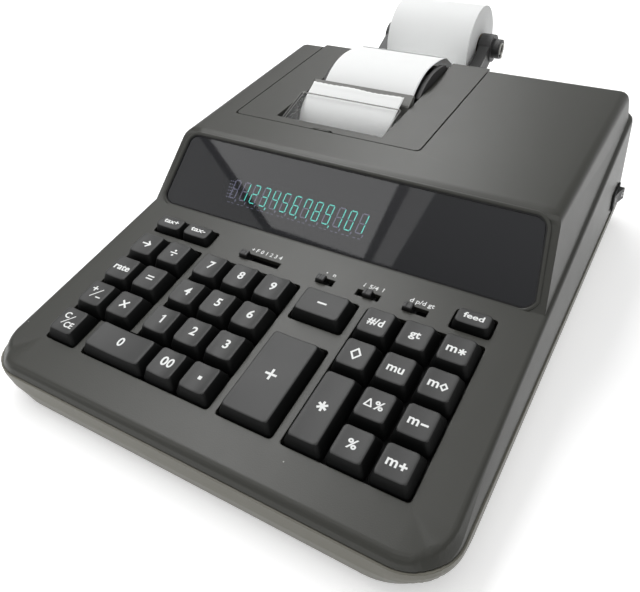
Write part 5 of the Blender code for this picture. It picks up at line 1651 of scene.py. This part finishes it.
@dataclass
class RollArms(SubAssembly):
    """The two arms that carry the roll, with the clip in the right one's boss."""

    cup: float = 6.2 * MM
    cup_bore: float = 4.7 * MM
    cup_depth: float = 0.8 * MM
    cup_edge: float = 0.25 * MM
    cup_sink: float = 0.05 * MM
    well: Rows = mm_points((0, 0), (4.7, 0), (4.7, 0.25), (1.2, 0.12), (0, 0.12))
    clip: float = 4.3 * MM
    clip_wire: float = 0.55 * MM
    clip_inset: float = 0.6 * MM
    clip_sweep: float = math.radians(285)
    clip_turn: float = math.radians(20)
    clip_level: float = 0.75 * MM
    tongue: Numbers = mm(3.6, 2.0, 0.8)
    tongue_spot: Numbers = mm(4.7, -0.4, 0.1)
    rib: Numbers = mm(0.5, 38.0, 1.6)
    rib_offset: float = 4.6 * MM
    rib_share: float = 0.44
    flank: Numbers = (-30, 312, 62)
    flank_reach: float = 90
    root: Numbers = mm(289.5, 50.0)

    def clip_ring(self) -> Shape:
        """An open spring ring with a tongue.

        Returns:
            The ring along Z.
        """
        body = bmesh.new()
        bmesh.ops.create_circle(body, cap_ends=True, radius=self.clip_wire, segments=10)
        moved(swung(body, math.pi / 2, "X"), (self.clip - self.clip_inset, 0, 0))
        bmesh.ops.spin(
            body, geom=body.faces[:], cent=(0, 0, 0), axis=(0, 0, 1), angle=self.clip_sweep, steps=40
        )
        weld(body)
        return merge((body, block(self.tongue, self.tongue_spot, 0.3 * MM, 3)))

    def boss(self, centre: Vector) -> None:
        """The cup in the right arm's boss, with the clip that holds the roll.

        Args:
            centre: Middle of the roll.
        """
        _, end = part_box("roll_arm_right")
        spot = Vector((end.x - self.cup_sink, centre.y, centre.z))
        cup = ring_wall(self.cup, self.cup_bore, 0, self.cup_depth, 48)
        eased(cup, cup.edges, self.cup_edge, 2)
        ring = moved(swung(self.clip_ring(), self.clip_turn, "Z"), (0, 0, self.clip_level))
        for name, body, material, slot in (
            ("arm_cup", cup, self.look.arm, "arm_black"),
            ("arm_cup_well", turned(self.well), self.look.liner_and_shade, "arm_black"),
            ("arm_clip", ring, self.look.nylon, "steel"),
        ):
            self.add(name, lay_along_x(body, spot), material, "case", slot, Matrix())

    def flank_ribs(self, centre: Vector) -> None:
        """Two ribs along the outer flank of each arm.

        Args:
            centre: Middle of the roll.
        """
        case = FRAMES.case()
        x, y, z = self.flank
        for side, name in ((-1, "roll_arm_left"), (1, "roll_arm_right")):
            spot, _ = self.touch(name, (x + side * self.flank_reach, y, z), (-side, 0, 0))
            root = Vector((spot.x, *self.root))
            hub = Vector((spot.x, centre.y - case.translation.y, centre.z))
            way = hub - root
            pair = merge(block(self.rib, (0, 0, offset * self.rib_offset), 0.2 * MM) for offset in (-1, 1))
            moved(swung(pair, math.atan2(way.z, way.y), "X"), root + way * self.rib_share)
            self.add(name + "_ribs", pair, self.look.bar, "case", "arm_black")

    def build(self) -> None:
        """Dress the arms and finish their bosses and flanks."""
        for side in ("left", "right"):
            self.dress("roll_arm_" + side, self.look.arm)
        low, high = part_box("paper_roll")
        centre = (low + high) / 2
        self.boss(centre)
        self.flank_ribs(centre)


@dataclass
class Printer(SubAssembly):
    """The printer: cheeks and bar by the paper, gears, ribbon cassette, motor and head."""

    centre_x: float = -30.06 * MM
    side: float = 33.4 * MM
    platen: Numbers = mm(205.95, 56.86)
    head: Numbers = mm(184.95, 49.86)
    cheek: Rows = mm_points(
        (236.0, 76.0), (229.5, 77.6), (233.0, 80.3), (237.5, 82.6), (242.5, 84.3), (248.0, 85.5),
        (253.0, 85.9), (258.0, 85.8), (264.0, 85.2), (268.0, 84.3), (270.0, 80.0), (268.0, 76.0),
    )
    cheek_inset: float = 2.9 * MM
    cheek_width: float = 2.6 * MM
    bar: Rows = mm_points(
        (210.8, 70.2), (215.4, 69.2), (219.2, 74.2), (222.2, 81.4), (220.6, 82.5), (214.5, 78.6)
    )
    bar_play: float = 4.0 * MM
    bracket: Numbers = mm(2.2, 5.0, 9.5)
    bracket_spot: Numbers = mm(213.6, 69.2)
    box: Numbers = mm(60.0, 13.0, 5.0)
    box_spot: Numbers = mm(171.0, 61.5)
    spool: Rows = mm_points(
        (0, 0), (5.6, 0), (5.6, 0.9), (3.2, 0.9), (3.0, 2.6), (1.1, 2.6), (1.0, 1.2), (0, 1.2)
    )
    spool_reach: float = 22 * MM
    spool_rise: float = 2.4 * MM
    grip: Numbers = mm(0.9, 8.0, 0.8)
    grip_pitch: float = 2.4 * MM
    grip_rise: float = 2.7 * MM
    ribbon: Numbers = mm(52.0, 0.35, 5.2)
    ribbon_spot: Numbers = mm(178.4, 62.0)
    gear_x: float = 38.4 * MM
    idler: Numbers = mm(14.5, -4.5)
    pinion: Numbers = mm(22.0, -10.3)
    platen_gear: Gear = Gear(7.6 * MM, 26, 2.6 * MM, 1.6 * MM)
    idler_gear: Gear = Gear(5.4 * MM, 18, 2.4 * MM, 1.5 * MM)
    motor_gear: Gear = Gear(2.4 * MM, 10, 3.0 * MM, 0.9 * MM)
    idler_stud: Numbers = mm(1.4, 4.6, 5.0, 3.2)
    motor_stud: Numbers = mm(0.85, 5.6, 5.8, 3.6)
    motor_can: Rows = mm_points(
        (0, 0), (2.6, 0), (2.6, 0.8), (9.2, 0.8), (9.6, 1.3), (9.6, 13.4), (9.2, 13.9), (0, 13.9)
    )
    motor_inset: float = 14.2 * MM
    lead_radius: float = 0.6 * MM
    lead_spot: Numbers = mm(20.5, 8.0, 4.0)
    lead_pitch: Numbers = mm(1.6, 1.2)
    lead_bend: float = 14.0 * MM
    lead_sweep: float = math.radians(80)
    lead_end: Numbers = mm(0, -6.0, -1.5)
    head_x: float = 10.58 * MM
    fin: Numbers = mm(12.0, 0.7, 6.0)
    fin_start: Numbers = mm(4.0, 11.0)
    fin_pitch: float = 1.5 * MM
    sink: Numbers = mm(12.6, 6.4, 1.2)
    sink_spot: Numbers = mm(1.8, 8.9)
    cable: Rows = mm_points((0, 0), (9.0, 0), (9.0, 7.5), (0, 7.5))
    cable_thick: float = 0.25 * MM
    cable_spot: Numbers = mm(4.5, 12.0, 6.5)

    def paper_bar(self) -> Shape:
        """The plastic bar between the slip and the web, on two brackets.

        Returns:
            The bar in the case's frame.
        """
        plate = side_plate(self.bar, 2 * self.side - self.bar_play, self.centre_x)
        eased(plate, plate.edges, 0.5 * MM, 2)
        feet = [
            block(self.bracket, (self.centre_x + side * self.side, *self.bracket_spot), 0.4 * MM)
            for side in (-1, 1)
        ]
        return merge((plate, *feet))

    def cassette(self) -> Shape:
        """The ribbon cassette: a flat box with two stepped spools and finger ribs.

        Returns:
            The cassette in the case's frame.
        """
        y, z = self.box_spot
        parts = [block(self.box, (self.centre_x, y, z), 0.8 * MM, 3)]
        for side in (-1, 1):
            spot = (self.centre_x + side * self.spool_reach, y, z + self.spool_rise)
            parts.append(moved(turned(self.spool, 40), spot))
        for index in (-2, -1, 0, 1, 2):
            spot = (self.centre_x + index * self.grip_pitch, y, z + self.grip_rise)
            parts.append(block(self.grip, spot, 0.2 * MM))
        return merge(parts)

    def stud(self, size: Numbers, spot: Point) -> Shape:
        """The stud that a gear sits on.

        Args:
            size: Its radius, the height of its shoulder and of its tip, and how far it reaches in.
            spot: Middle of its gear.

        Returns:
            The stud in the case's frame.
        """
        radius, shoulder, tip, inset = size
        x, y, z = spot
        pin = turned(((0, 0), (radius, 0), (radius, shoulder), (0, tip)), 20)
        return lay_along_x(pin, (x - inset, y, z))

    def gears(self) -> None:
        """The platen's gear, an idler and the motor's pinion, outside the right side plate.

        The platen's gear turns beside a still idler, so the idler stands just clear of its teeth.
        """
        x = self.centre_x + self.gear_x
        y, z = self.platen
        idler = (x, y + self.idler[0], z + self.idler[1])
        pinion = (x, y + self.pinion[0], z + self.pinion[1])
        for name, form, spot, material, rides in (
            ("platen_gear", self.platen_gear, (x, y, z), self.look.nylon, "platen"),
            ("idler_gear", self.idler_gear, idler, self.look.nylon, "case"),
            ("motor_pinion", self.motor_gear, pinion, self.look.steel, "case"),
        ):
            self.add(name, lay_along_x(form.shape(), spot), material, rides, "steel")
        studs = merge((self.stud(self.idler_stud, idler), self.stud(self.motor_stud, pinion)))
        self.add("gear_studs", studs, self.look.steel, "case", "steel")

    def lead(self, spot: Vector, bend: Vector) -> Shape:
        """One of the motor's leads, which bends down and runs forward.

        Args:
            spot: Where it leaves the motor.
            bend: A point on the axis that it bends round.

        Returns:
            The lead in the case's frame.
        """
        lead = bmesh.new()
        bmesh.ops.create_circle(lead, cap_ends=True, radius=self.lead_radius, segments=10)
        moved(lead, spot)
        axis = Vector((lead.verts[:][0].co.x, bend.y, bend.z))
        spun = bmesh.ops.spin(
            lead, geom=lead.faces[:], cent=axis, axis=(1, 0, 0), angle=self.lead_sweep, steps=12
        )["geom_last"]
        cap = [item for item in spun if isinstance(item, Face)]
        grown = bmesh.ops.extrude_face_region(lead, geom=cap)["geom"]
        bmesh.ops.translate(lead, vec=self.lead_end, verts=corner_points(grown))
        weld(lead)
        return lead

    def motor(self) -> None:
        """The stepper motor that drives the platen, inside the frame, with its leads."""
        y = self.platen[0] + self.pinion[0]
        z = self.platen[1] + self.pinion[1]
        inner = self.centre_x + self.side
        can = lay_along_x(turned(self.motor_can), (inner - self.motor_inset, y, z))
        self.add("platen_motor", can, self.look.steel, "case", "steel")
        across, ahead, down = self.lead_spot
        for index, material in enumerate((self.look.wire_red, self.look.wire_blue)):
            x = self.centre_x + across + self.lead_pitch[0] * index
            spot = Vector((x, y - ahead - self.lead_pitch[1] * index, z - down))
            lead = self.lead(spot, Vector((x, y - self.lead_bend, z - down)))
            self.add(f"motor_lead_{index + 1}", lead, material, "case")

    def head_trim(self) -> None:
        """The head's heat sink fins and its flat cable."""
        y, z = self.head
        x = self.centre_x - self.head_x
        front, rise = self.fin_start
        fins = [
            block(self.fin, (x, y - front + index * self.fin_pitch, z + rise), 0.15 * MM)
            for index in range(4)
        ]
        plate = block(self.sink, (x, y - self.sink_spot[0], z + self.sink_spot[1]), 0.2 * MM)
        self.add("head_fins", merge((plate, *fins)), self.look.steel, "head", "steel")
        across, ahead, down = self.cable_spot
        flat = moved(outline_plate(self.cable, self.cable_thick), (x - across, y - ahead, z - down))
        self.add("head_cable", flat, self.look.nylon, "head")

    def build(self) -> None:
        """Dress the printer's nodes and add the pieces that the frame leaves out."""
        self.dress("platen_roller", self.look.rubber)
        self.dress("printer_frame", self.look.inner)
        self.dress("print_head", self.look.chip)
        for side, name in ((-1, "paper_cheek_left"), (1, "paper_cheek_right")):
            middle = self.centre_x + side * (self.side - self.cheek_inset)
            body = side_plate(self.cheek, self.cheek_width, middle)
            self.add(name, body, self.look.inner, "case", sharp=50)
        self.add("paper_bar", self.paper_bar(), self.look.bar, "case")
        self.add("ribbon_cassette", self.cassette(), self.look.knob, "case")
        band = block(self.ribbon, (self.centre_x, *self.ribbon_spot), 0.1 * MM)
        self.add("ribbon_band", band, self.look.ribbon, "case")
        self.gears()
        self.motor()
        self.head_trim()


@dataclass
class Electrics(SubAssembly):
    """The board's parts, the power switch's marks, and the mains socket at the back."""

    mark_start: float = 20
    mark_reach: float = 4.4
    mark_lift: float = 0.02 * MM
    stroke: Numbers = mm(0.5, 2.6, 0.06)
    ring: Numbers = mm(1.3, 0.85, -0.03, 0.03)
    socket_start: Numbers = (72.0, 320, 34)
    socket: Numbers = mm(25.0, 2.4, 18.0)
    socket_steps: Rows = mm_points((1.8, -1.9), (2.6, 1.6))
    socket_proud: float = 1.1 * MM
    pin: Numbers = mm(1.2, 1.6, 3.6)
    pin_spot: Numbers = mm(4.2, 2.2)
    board: float = 1.6 * MM
    chips: Rows = ((-40, 58, 26, 9, 12), (10, 96, 18, 9, 8), (52, 70, 12, 12, 6))
    chip_height: float = 2.2
    chip_level: float = 1.5 * MM
    leg: Numbers = mm(0.5, 1.4, 1.2)
    leg_level: float = 0.6 * MM
    leg_reach: float = 0.5
    cans: Rows = ((-70, 40), (-62, 40), (30, 44), (38, 44), (76, 128))
    can: Rows = mm_points(
        (0, 0), (2.9, 0), (3.1, 0.4), (2.8, 0.9), (3.1, 1.3), (3.1, 6.4), (2.8, 6.8), (0, 6.7)
    )

    def switch_marks(self) -> None:
        """A stroke and a ring on the rocker's two ends, and the plate's finish."""
        self.dress("power_switch", self.look.knob)
        self.dress("switch_plate", self.look.liner_and_shade)
        low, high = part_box("power_switch")
        middle = FRAMES.case().inverted() @ ((low + high) / 2) / MM
        parts = []
        for side, mark in ((-1, block(self.stroke, (0, 0, 0))), (1, ring_wall(*self.ring, 28))):
            start = (middle.x + self.mark_start, middle.y + side * self.mark_reach, middle.z)
            spot, normal = self.touch("power_switch", start, (-1, 0, 0))
            mark.transform(stand_on(spot + normal * self.mark_lift, normal))
            parts.append(mark)
        self.add("rocker_marks", merge(parts), self.look.ink, "rocker")

    def mains_socket(self) -> None:
        """The socket for the mains lead, on the rear wall."""
        spot, _ = self.touch("top_case", self.socket_start, (0, -1, 0))
        rim = block(self.socket, (0, 0, 0), 1.0 * MM, 3)
        back = max(rim.faces, key=lambda face: face.calc_center_median().y)
        for inset, step in self.socket_steps:
            bmesh.ops.inset_region(rim, faces=[back], thickness=inset, depth=0.0)
            bmesh.ops.translate(rim, vec=(0, step, 0), verts=list(back.verts))
        weld(rim)
        moved(rim, spot + Vector((0, self.socket_proud, 0)))
        self.add("mains_socket", rim, self.look.knob, "case", "case_black")
        x, y = self.pin_spot
        pins = [block(self.pin, spot + Vector((side * x, y, 0)), 0.2 * MM) for side in (-1, 1)]
        self.add("mains_pins", merge(pins), self.look.steel, "case", "steel")

    def chip(self, layout: Point, top: float) -> list[Shape]:
        """One chip with its legs.

        Args:
            layout: X, Y, width and depth in millimetres, and the number of legs on each side.
            top: Height of the board's upper face.

        Returns:
            The chip and its legs.
        """
        x, y, wide, deep, legs = layout
        body = mm(wide, deep, self.chip_height)
        parts = [block(body, (x * MM, y * MM, top + self.chip_level), 0.3 * MM)]
        for leg in range(legs):
            place = ((leg + 0.5) / legs - 0.5) * (wide - 2)
            for side in (-1, 1):
                across, along = mm(x + place, y + side * (deep / 2 + self.leg_reach))
                parts.append(block(self.leg, (across, along, top + self.leg_level)))
        return parts

    def board_parts(self) -> None:
        """Chips with legs and capacitors on the main board."""
        low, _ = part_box("circuit_board")
        top = (FRAMES.case().inverted() @ low).z + self.board
        chips = [part for chip in self.chips for part in self.chip(chip, top)]
        self.add("board_chips", merge(chips), self.look.chip, "case")
        cans = [moved(turned(self.can, 28), (x * MM, y * MM, top)) for x, y in self.cans]
        self.add("board_capacitors", merge(cans), self.look.steel, "case")

    def build(self) -> None:
        """Dress the board and build the electric pieces."""
        self.dress("circuit_board", self.look.laminate)
        self.switch_marks()
        self.mains_socket()
        self.board_parts()


@dataclass
class Casework(SubAssembly):
    """The case halves, the cover, the tear window, the feet, screws and vents."""

    screws: Rows = ((98.0, 44.0), (98.0, 150.0), (70.0, 268.0))
    seat: Rows = mm_points((0, 0.05), (4.6, 0.05), (4.4, -0.45), (3.6, -0.45), (3.2, -0.05), (0, -0.05))
    screw: Rows = mm_points((0, 0), (2.9, 0), (3.0, -0.5), (2.5, -1.1), (1.4, -1.35), (0, -1.4))
    # Vent slots and screw grooves are thin dark patches, painted shade.
    groove_shade: Numbers = mm(3.2, 0.6, 0.1)
    groove_level: float = -1.41 * MM
    base_slot_shade: Numbers = mm(2.6, 22.0, 0.16)
    rear_slot_shade: Numbers = mm(2.0, 16.0, 0.16)
    slot_edge: float = 0.07 * MM
    base_vents: Numbers = (-44, 120)
    base_pitch: Numbers = (8, 60)
    base_rows: int = 2
    base_columns: int = 12
    below: float = -20
    rear_vents: Numbers = (-100, 320, 36)
    rear_pitch: float = 4.6
    rear_count: int = 14
    rear_reach: float = 2
    arm_slot: Numbers = (-69.5, -48.0)
    foot_rings: Numbers = (2.0, 4.2)
    half_width: float = 113.25
    moulded_radius: float = 9.3
    seam_radius: float = 21.0
    bottom_radius: float = 30.0
    taper: Numbers = (15.8, 3.4)
    corner_cuts: int = 16
    height_cuts: int = 6
    still_share: float = 0.2
    blend_share: float = 0.25
    window_edge: Numbers = mm(0, 205.52, 80.45)
    window_slope: float = math.radians(17.1)
    teeth_left: float = -61.2
    teeth_pitch: float = 1.26
    teeth_count: int = 49
    teeth_foot: float = -0.35
    tooth: float = 0.75
    teeth_thick: float = 0.25 * MM
    # Painted glints and painted shade at the left end of the tear window.
    painted_glint: Numbers = mm(0.4, 23.0, 0.4)
    painted_glint_xs: Numbers = mm(-61.3, -59.7, 1.2)
    painted_gap_shade: Numbers = mm(1.0, 22.0, 0.3)
    painted_edge_spot: Numbers = mm(-60.5, -12.0, -0.05)
    # Where the cover's seam is probed, and the size of the dark ring that paints its shadow.
    joint_probes: Rows = ((-80, 180, 130), (-80, 270, 130))
    joint_play: float = 1.1 * MM
    joint: Numbers = mm(3.0, 0.5, -1.5, -0.3)
    joint_end: float = 6 * MM
    tab_probe: Numbers = (-31.3, 179.2, 130)
    tab: Numbers = mm(10.2, 1.8, 1.2)
    tab_y: float = 175.9 * MM
    tab_sink: float = 0.75 * MM

    def cut(self, body: Shape, faces: list[Face], spot: Vector, way: Vector) -> None:
        """Cut some faces of a body by a plane."""
        edges = {edge for face in faces for edge in face.edges}
        verts = {vert for face in faces for vert in face.verts}
        geom = faces + list(edges) + list(verts)
        bmesh.ops.bisect_plane(body, geom=geom, dist=1e-7, plane_co=spot, plane_no=way)

    def soften(self, body: Shape, side: int, old: float, new: float, tapered: bool) -> None:
        """Widen the radius of one front corner, with the wall's thickness kept.

        Args:
            body: A case half in the case's frame.
            side: -1 for the left corner, 1 for the right.
            old: Its radius now.
            new: Its new radius.
            tapered: Whether the new radius is reached only at the bottom.
        """
        centre = Vector((side * (self.half_width - new) * MM, new * MM, 0))
        start = new - old
        high, low = self.taper

        def inside(vert: Vert) -> bool:
            """Whether a vertex lies in the corner's square."""
            return (vert.co.x - centre.x) * side > -DOUBLED and centre.y - vert.co.y > -DOUBLED

        def corner_faces() -> list[Face]:
            """The faces in the corner's square."""
            return [face for face in body.faces if all(map(inside, face.verts))]

        for turn in (0, math.pi / 2):
            self.cut(body, list(body.faces), centre, Vector((side * math.sin(turn), math.cos(turn), 0)))
        for step in range(1, self.corner_cuts):
            turn = math.radians(step * 90 / self.corner_cuts)
            self.cut(body, corner_faces(), centre, Vector((side * math.sin(turn), math.cos(turn), 0)))
        for step in range(self.height_cuts if tapered else 0):
            height = high + (low - high) * step / self.height_cuts
            self.cut(body, corner_faces(), Vector((0, 0, height * MM)), Vector((0, 0, 1)))
        for vert in filter(inside, body.verts):
            along, ahead = (vert.co.x - centre.x) * side / MM, (centre.y - vert.co.y) / MM
            level = max(along, ahead)
            if min(along, ahead) > start:
                level = start + math.hypot(along - start, ahead - start)
            if level <= new * self.still_share:
                continue
            share = min((level / new - self.still_share) / self.blend_share, 1)
            if tapered:
                share *= min(max((high - vert.co.z / MM) / (high - low), 0), 1)
            scale = 1 - share * (1 - level / math.hypot(along, ahead))
            vert.co.x = centre.x + side * along * scale * MM
            vert.co.y = centre.y - ahead * scale * MM

    def shell(self, node: str, name: str, material: Material, slot: str, tapered: bool) -> None:
        """A case half with softer front corners, in place of its node.

        Args:
            node: Node of the frame.
            name: Name of the new piece.
            material: Its finish.
            slot: The record's material slot.
            tapered: Whether its corners draw in further towards the bottom.
        """
        body = bmesh.new()
        body.from_mesh(self.nodes[node].data)
        body.transform(FRAMES.case().inverted())
        bmesh.ops.remove_doubles(body, verts=body.verts, dist=DOUBLED)
        bmesh.ops.dissolve_limit(body, angle_limit=math.radians(0.3), verts=body.verts, edges=body.edges)
        for side in (-1, 1):
            self.soften(body, side, self.moulded_radius, self.seam_radius, False)
            if tapered:
                self.soften(body, side, self.seam_radius, self.bottom_radius, True)
        piece = self.add(name, body, material, "case", slot, sharp=30)
        flatten = piece.modifiers.new("flat_faces", "WEIGHTED_NORMAL")
        flatten.keep_sharp = True
        flatten.weight = 100
        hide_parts(node)

    def window_trim(self) -> None:
        """The saw teeth of the tear window, and at its left end two pale strips that paint the glints of its
        edges, with a dark strip between them that paints shade.
        """
        slope = Matrix.Rotation(self.window_slope, 4, "X")
        tilt = FRAMES.case() @ Matrix.Translation(self.window_edge) @ slope
        left, pitch = self.teeth_left, self.teeth_pitch
        right = left + pitch * self.teeth_count
        teeth = [(right, self.teeth_foot), (left, self.teeth_foot)]
        for index in range(self.teeth_count):
            teeth += [(left + pitch * index, 0.0), (left + pitch * (index + 0.5), self.tooth)]
        teeth.append((right, 0.0))
        row = outline_plate(mm_points(*teeth), self.teeth_thick)
        # Two pale strips paint the glints of the window's edges; a dark one between them paints shade.
        _, y, z = self.painted_edge_spot
        ends = [block(self.painted_glint, (x, y, z)) for x in self.painted_glint_xs]
        self.add("window_teeth_and_painted_glints", merge((row, *ends)), self.look.bar, "cover", place=tilt)
        gap = block(self.painted_gap_shade, self.painted_edge_spot)
        self.add("window_painted_gap_shade", gap, self.look.liner_and_shade, "cover", place=tilt)

    def cover_seam_shadow(self) -> None:
        """A dark strip in the gap between the cover and the housing's top, which paints its shadow."""
        front, rear = (self.touch("printer_cover", start, (0, 0, -1))[0] for start in self.joint_probes)
        rise = (rear.z - front.z) / (rear.y - front.y)
        inverse = FRAMES.case().inverted()
        low, high = (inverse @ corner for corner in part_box("printer_cover"))
        middle = (low + high) / 2
        size = (high.x - low.x + self.joint_play, high.y - low.y + self.joint_play)
        # A dark ring that paints the shadow in the seam.
        joint = moved(rounded_ring(size, *self.joint), (middle.x, middle.y, 0))
        sliced(joint, (0, high.y - self.joint_end, 0), (0, 1, 0), clear=True)
        bmesh.ops.holes_fill(joint, edges=[edge for edge in joint.edges if edge.is_boundary])
        for vert in joint.verts:
            vert.co.z += front.z + (vert.co.y - front.y) * rise
        self.add("cover_seam_shadow", joint, self.look.liner_and_shade, "case")

    def finger_tab(self) -> None:
        """The tab in the cover's finger notch."""
        spot, normal = self.touch("printer_cover", self.tab_probe, (0, 0, -1))
        fall = (spot.y - self.tab_y) * -normal.y / normal.z
        tab = block(self.tab, (0, 0, 0), 0.3 * MM)
        tab.transform(stand_on(Vector((spot.x, self.tab_y, spot.z - fall - self.tab_sink)), normal))
        self.add("finger_tab", tab, self.look.case, "cover", "case_black")

    def underside(self) -> None:
        """Screws in dished seats, and vent slots, on the bottom of the base; the slots and the screws' cross
        grooves are thin dark patches that paint the shade in them.
        """
        seats, heads, slots = [], [], []
        for x, y in ((side * x, y) for x, y in self.screws for side in (-1, 1)):
            spot, _ = self.touch("base_case", (x, y, self.below), (0, 0, 1))
            seats.append(moved(turned(self.seat, 40), spot))
            heads.append(moved(turned(self.screw, 32), spot))
            for turn in (0.3, 0.3 + math.pi / 2):
                groove_shade = block(self.groove_shade, (0, 0, 0), turn=turn)
                slots.append(moved(groove_shade, spot + Vector((0, 0, self.groove_level))))
        x, y = self.base_vents
        step, gap = self.base_pitch
        for row in range(self.base_rows):
            for column in range(self.base_columns):
                start = (x + column * step, y + row * gap, self.below)
                spot, _ = self.touch("base_case", start, (0, 0, 1))
                slots.append(block(self.base_slot_shade, spot, self.slot_edge))
        self.add("screw_seats", merge(seats), self.look.tray, "case", "tray_black")
        self.add("base_screws", merge(heads), self.look.steel, "case", "steel")
        self.add("base_slot_shades", merge(slots), self.look.liner_and_shade, "case")

    def rear_slot_shades(self) -> None:
        """A row of vent slots in the rear wall, as thin dark patches that paint the shade in them, with a
        gap where the left arm plugs in.
        """
        low, high = self.arm_slot
        first, y, z = self.rear_vents
        slots = []
        for index in range(self.rear_count):
            x = first + index * self.rear_pitch
            if low < x - self.rear_reach < high or low < x + self.rear_reach < high:
                continue
            spot, normal = self.touch("top_case", (x, y, z), (0, -1, 0))
            slot = block(self.rear_slot_shade, (0, 0, 0), self.slot_edge)
            slot.transform(stand_on(spot, normal))
            slots.append(slot)
        self.add("rear_slot_shades", merge(slots), self.look.liner_and_shade, "case")

    def feet(self) -> None:
        """Rings moulded in the rubber feet."""
        inverse = FRAMES.case().inverted()
        rings = []
        for name in filter(lambda node: node.startswith("foot_"), self.nodes):
            self.dress(name, self.look.rubber)
            low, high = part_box(name)
            middle = inverse @ ((low + high) / 2)
            for radius in self.foot_rings:
                ring = ring_wall(radius * MM, (radius - 0.7) * MM, 0.02 * MM, 0.3 * MM, 32)
                rings.append(moved(ring, (middle.x, middle.y, 0)))
        self.add("foot_rings", merge(rings), self.look.rubber, "case", "rubber")

    def build(self) -> None:
        """Dress the case and add its small fittings."""
        self.shell("top_case", "upper_shell", self.look.case, "case_black", False)
        # The lower case's finish is lightened to paint the floor's bounce on its walls.
        self.shell("base_case", "lower_shell", self.look.tray, "tray_black", True)
        self.dress("printer_cover", self.look.case)
        self.dress("tear_window", self.look.clear)
        self.window_trim()
        self.cover_seam_shadow()
        self.finger_tab()
        self.underside()
        self.rear_slot_shades()
        self.feet()


@dataclass(frozen=True)
class Studio:
    """The floor, the lights and the camera."""

    camera_place: Numbers = (0.134315, -0.28183, 0.22189)
    camera_turn: Numbers = (50.9546, 2.4063, 30.3243)
    lens: float = 36.11
    sensor: float = 36.0
    nearest: float = 0.01
    sky: Rows = ((0.0, 0.85), (0.34, 0.34), (0.58, 0.34), (0.80, 0.78), (1.0, 0.95))
    key_light: float = 17.0
    key_spot: Numbers = (-0.66, 0.80, 1.25)
    key_size: Numbers = (0.52, 2.4)
    panel_light: float = 2.4
    panel_height: float = 1.3
    floor_size: float = 6.0
    panel: Rows = ((-1.31, -1.03), (-0.57, -1.04), (-0.72, -1.41), (-1.11, -1.39))
    left_panel: Rows = (
        (-2.40, -0.90), (-1.35, -1.05), (-1.155, -1.41), (-1.25, -1.95), (-2.40, -1.95)
    )
    thin_panel: Rows = ((-0.53, -1.04), (-0.45, -1.04), (-0.61, -1.41), (-0.685, -1.41))

    def place_camera(self) -> None:
        """Set the camera where the photograph was taken."""
        data = bpy.data.cameras.new("camera")
        data.lens = self.lens
        data.sensor_fit = "HORIZONTAL"
        data.sensor_width = self.sensor
        data.clip_start = self.nearest
        camera = bpy.data.objects.new("camera", data)
        camera.location = self.camera_place
        camera.rotation_euler = [math.radians(angle) for angle in self.camera_turn]
        bpy.context.scene.collection.objects.link(camera)
        bpy.context.scene.camera = camera

    def light_sky(self) -> None:
        """Light from all round, whose brightness depends on the height above the horizon."""
        world = bpy.data.worlds.new("studio_sky")
        world.use_nodes = True
        bench = NodeBench(world.node_tree)
        way = bench.add("ShaderNodeTexCoord").outputs["Generated"]
        height = bench.add("ShaderNodeSeparateXYZ", {0: way}).outputs["Z"]
        ramp = bench.add("ShaderNodeValToRGB", {"Fac": height})
        stops = ramp.color_ramp.elements
        for index, (position, level) in enumerate(self.sky):
            stop = stops[index] if index < 2 else stops.new(position)
            stop.position = position
            stop.color = (level, level, level, 1.0)
        background = world.node_tree.nodes["Background"]
        world.node_tree.links.new(ramp.outputs["Color"], background.inputs["Color"])
        bpy.context.scene.world = world

    def light_lamp(self) -> None:
        """One long soft lamp overhead, to the left and behind, that runs from front to back."""
        data = bpy.data.lights.new("softbox", "AREA")
        data.shape = "RECTANGLE"
        data.size, data.size_y = self.key_size
        data.energy = self.key_light
        lamp = bpy.data.objects.new("softbox", data)
        lamp.location = self.key_spot
        bpy.context.scene.collection.objects.link(lamp)

    def glowing(self, name: str, level: float) -> Material:
        """Material of a panel that only gives off light.

        Args:
            name: Name of the material.
            level: Strength of the light.

        Returns:
            The material.
        """
        material = bpy.data.materials.new(name)
        material.use_nodes = True
        inputs = material.node_tree.nodes["Principled BSDF"].inputs
        inputs["Base Color"].default_value = Tone.BLACK.opaque()
        inputs["Specular IOR Level"].default_value = 0.0
        inputs["Emission Color"].default_value = Tone.WHITE.opaque()
        inputs["Emission Strength"].default_value = level
        return material

    def hang_panels(self) -> None:
        """Bright panels that the display's pane reflects."""
        for name, corners, level in (
            ("bright_panel", self.panel, self.panel_light),
            ("left_panel", self.left_panel, self.panel_light * 0.4),
            ("thin_panel", self.thin_panel, self.panel_light * 0.6),
        ):
            body = bmesh.new()
            body.faces.new([body.verts.new((x, y, self.panel_height)) for x, y in corners])
            panel = finish_mesh(name, body, self.glowing(name, level), Matrix())

    def lay_floor(self, finishes: Finishes) -> None:
        """Lay a plain pale floor."""
        body = bmesh.new()
        bmesh.ops.create_grid(body, x_segments=1, y_segments=1, size=self.floor_size / 2)
        floor = finish_mesh("floor", body, finishes.floor, Matrix())

    def set_up(self, finishes: Finishes) -> None:
        """Build the whole studio."""
        self.place_camera()
        self.light_sky()
        self.light_lamp()
        self.hang_panels()
        self.lay_floor(finishes)
        bpy.context.scene.view_settings.view_transform = "Standard"


def main() -> None:
    """Load the frame, dress it, and log the pieces of each part."""
    logging.basicConfig(level=logging.INFO, format="%(name)s: %(message)s")
    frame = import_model()
    finishes = Finishes()
    Studio().set_up(finishes)
    for kind in (Casework, Keyboard, SlideSwitches, Display, PaperPath, RollArms, Printer, Electrics):
        part = kind(finishes, frame["nodes"])
        part.build()
        part.report()


if __name__ == "__main__":
    main()
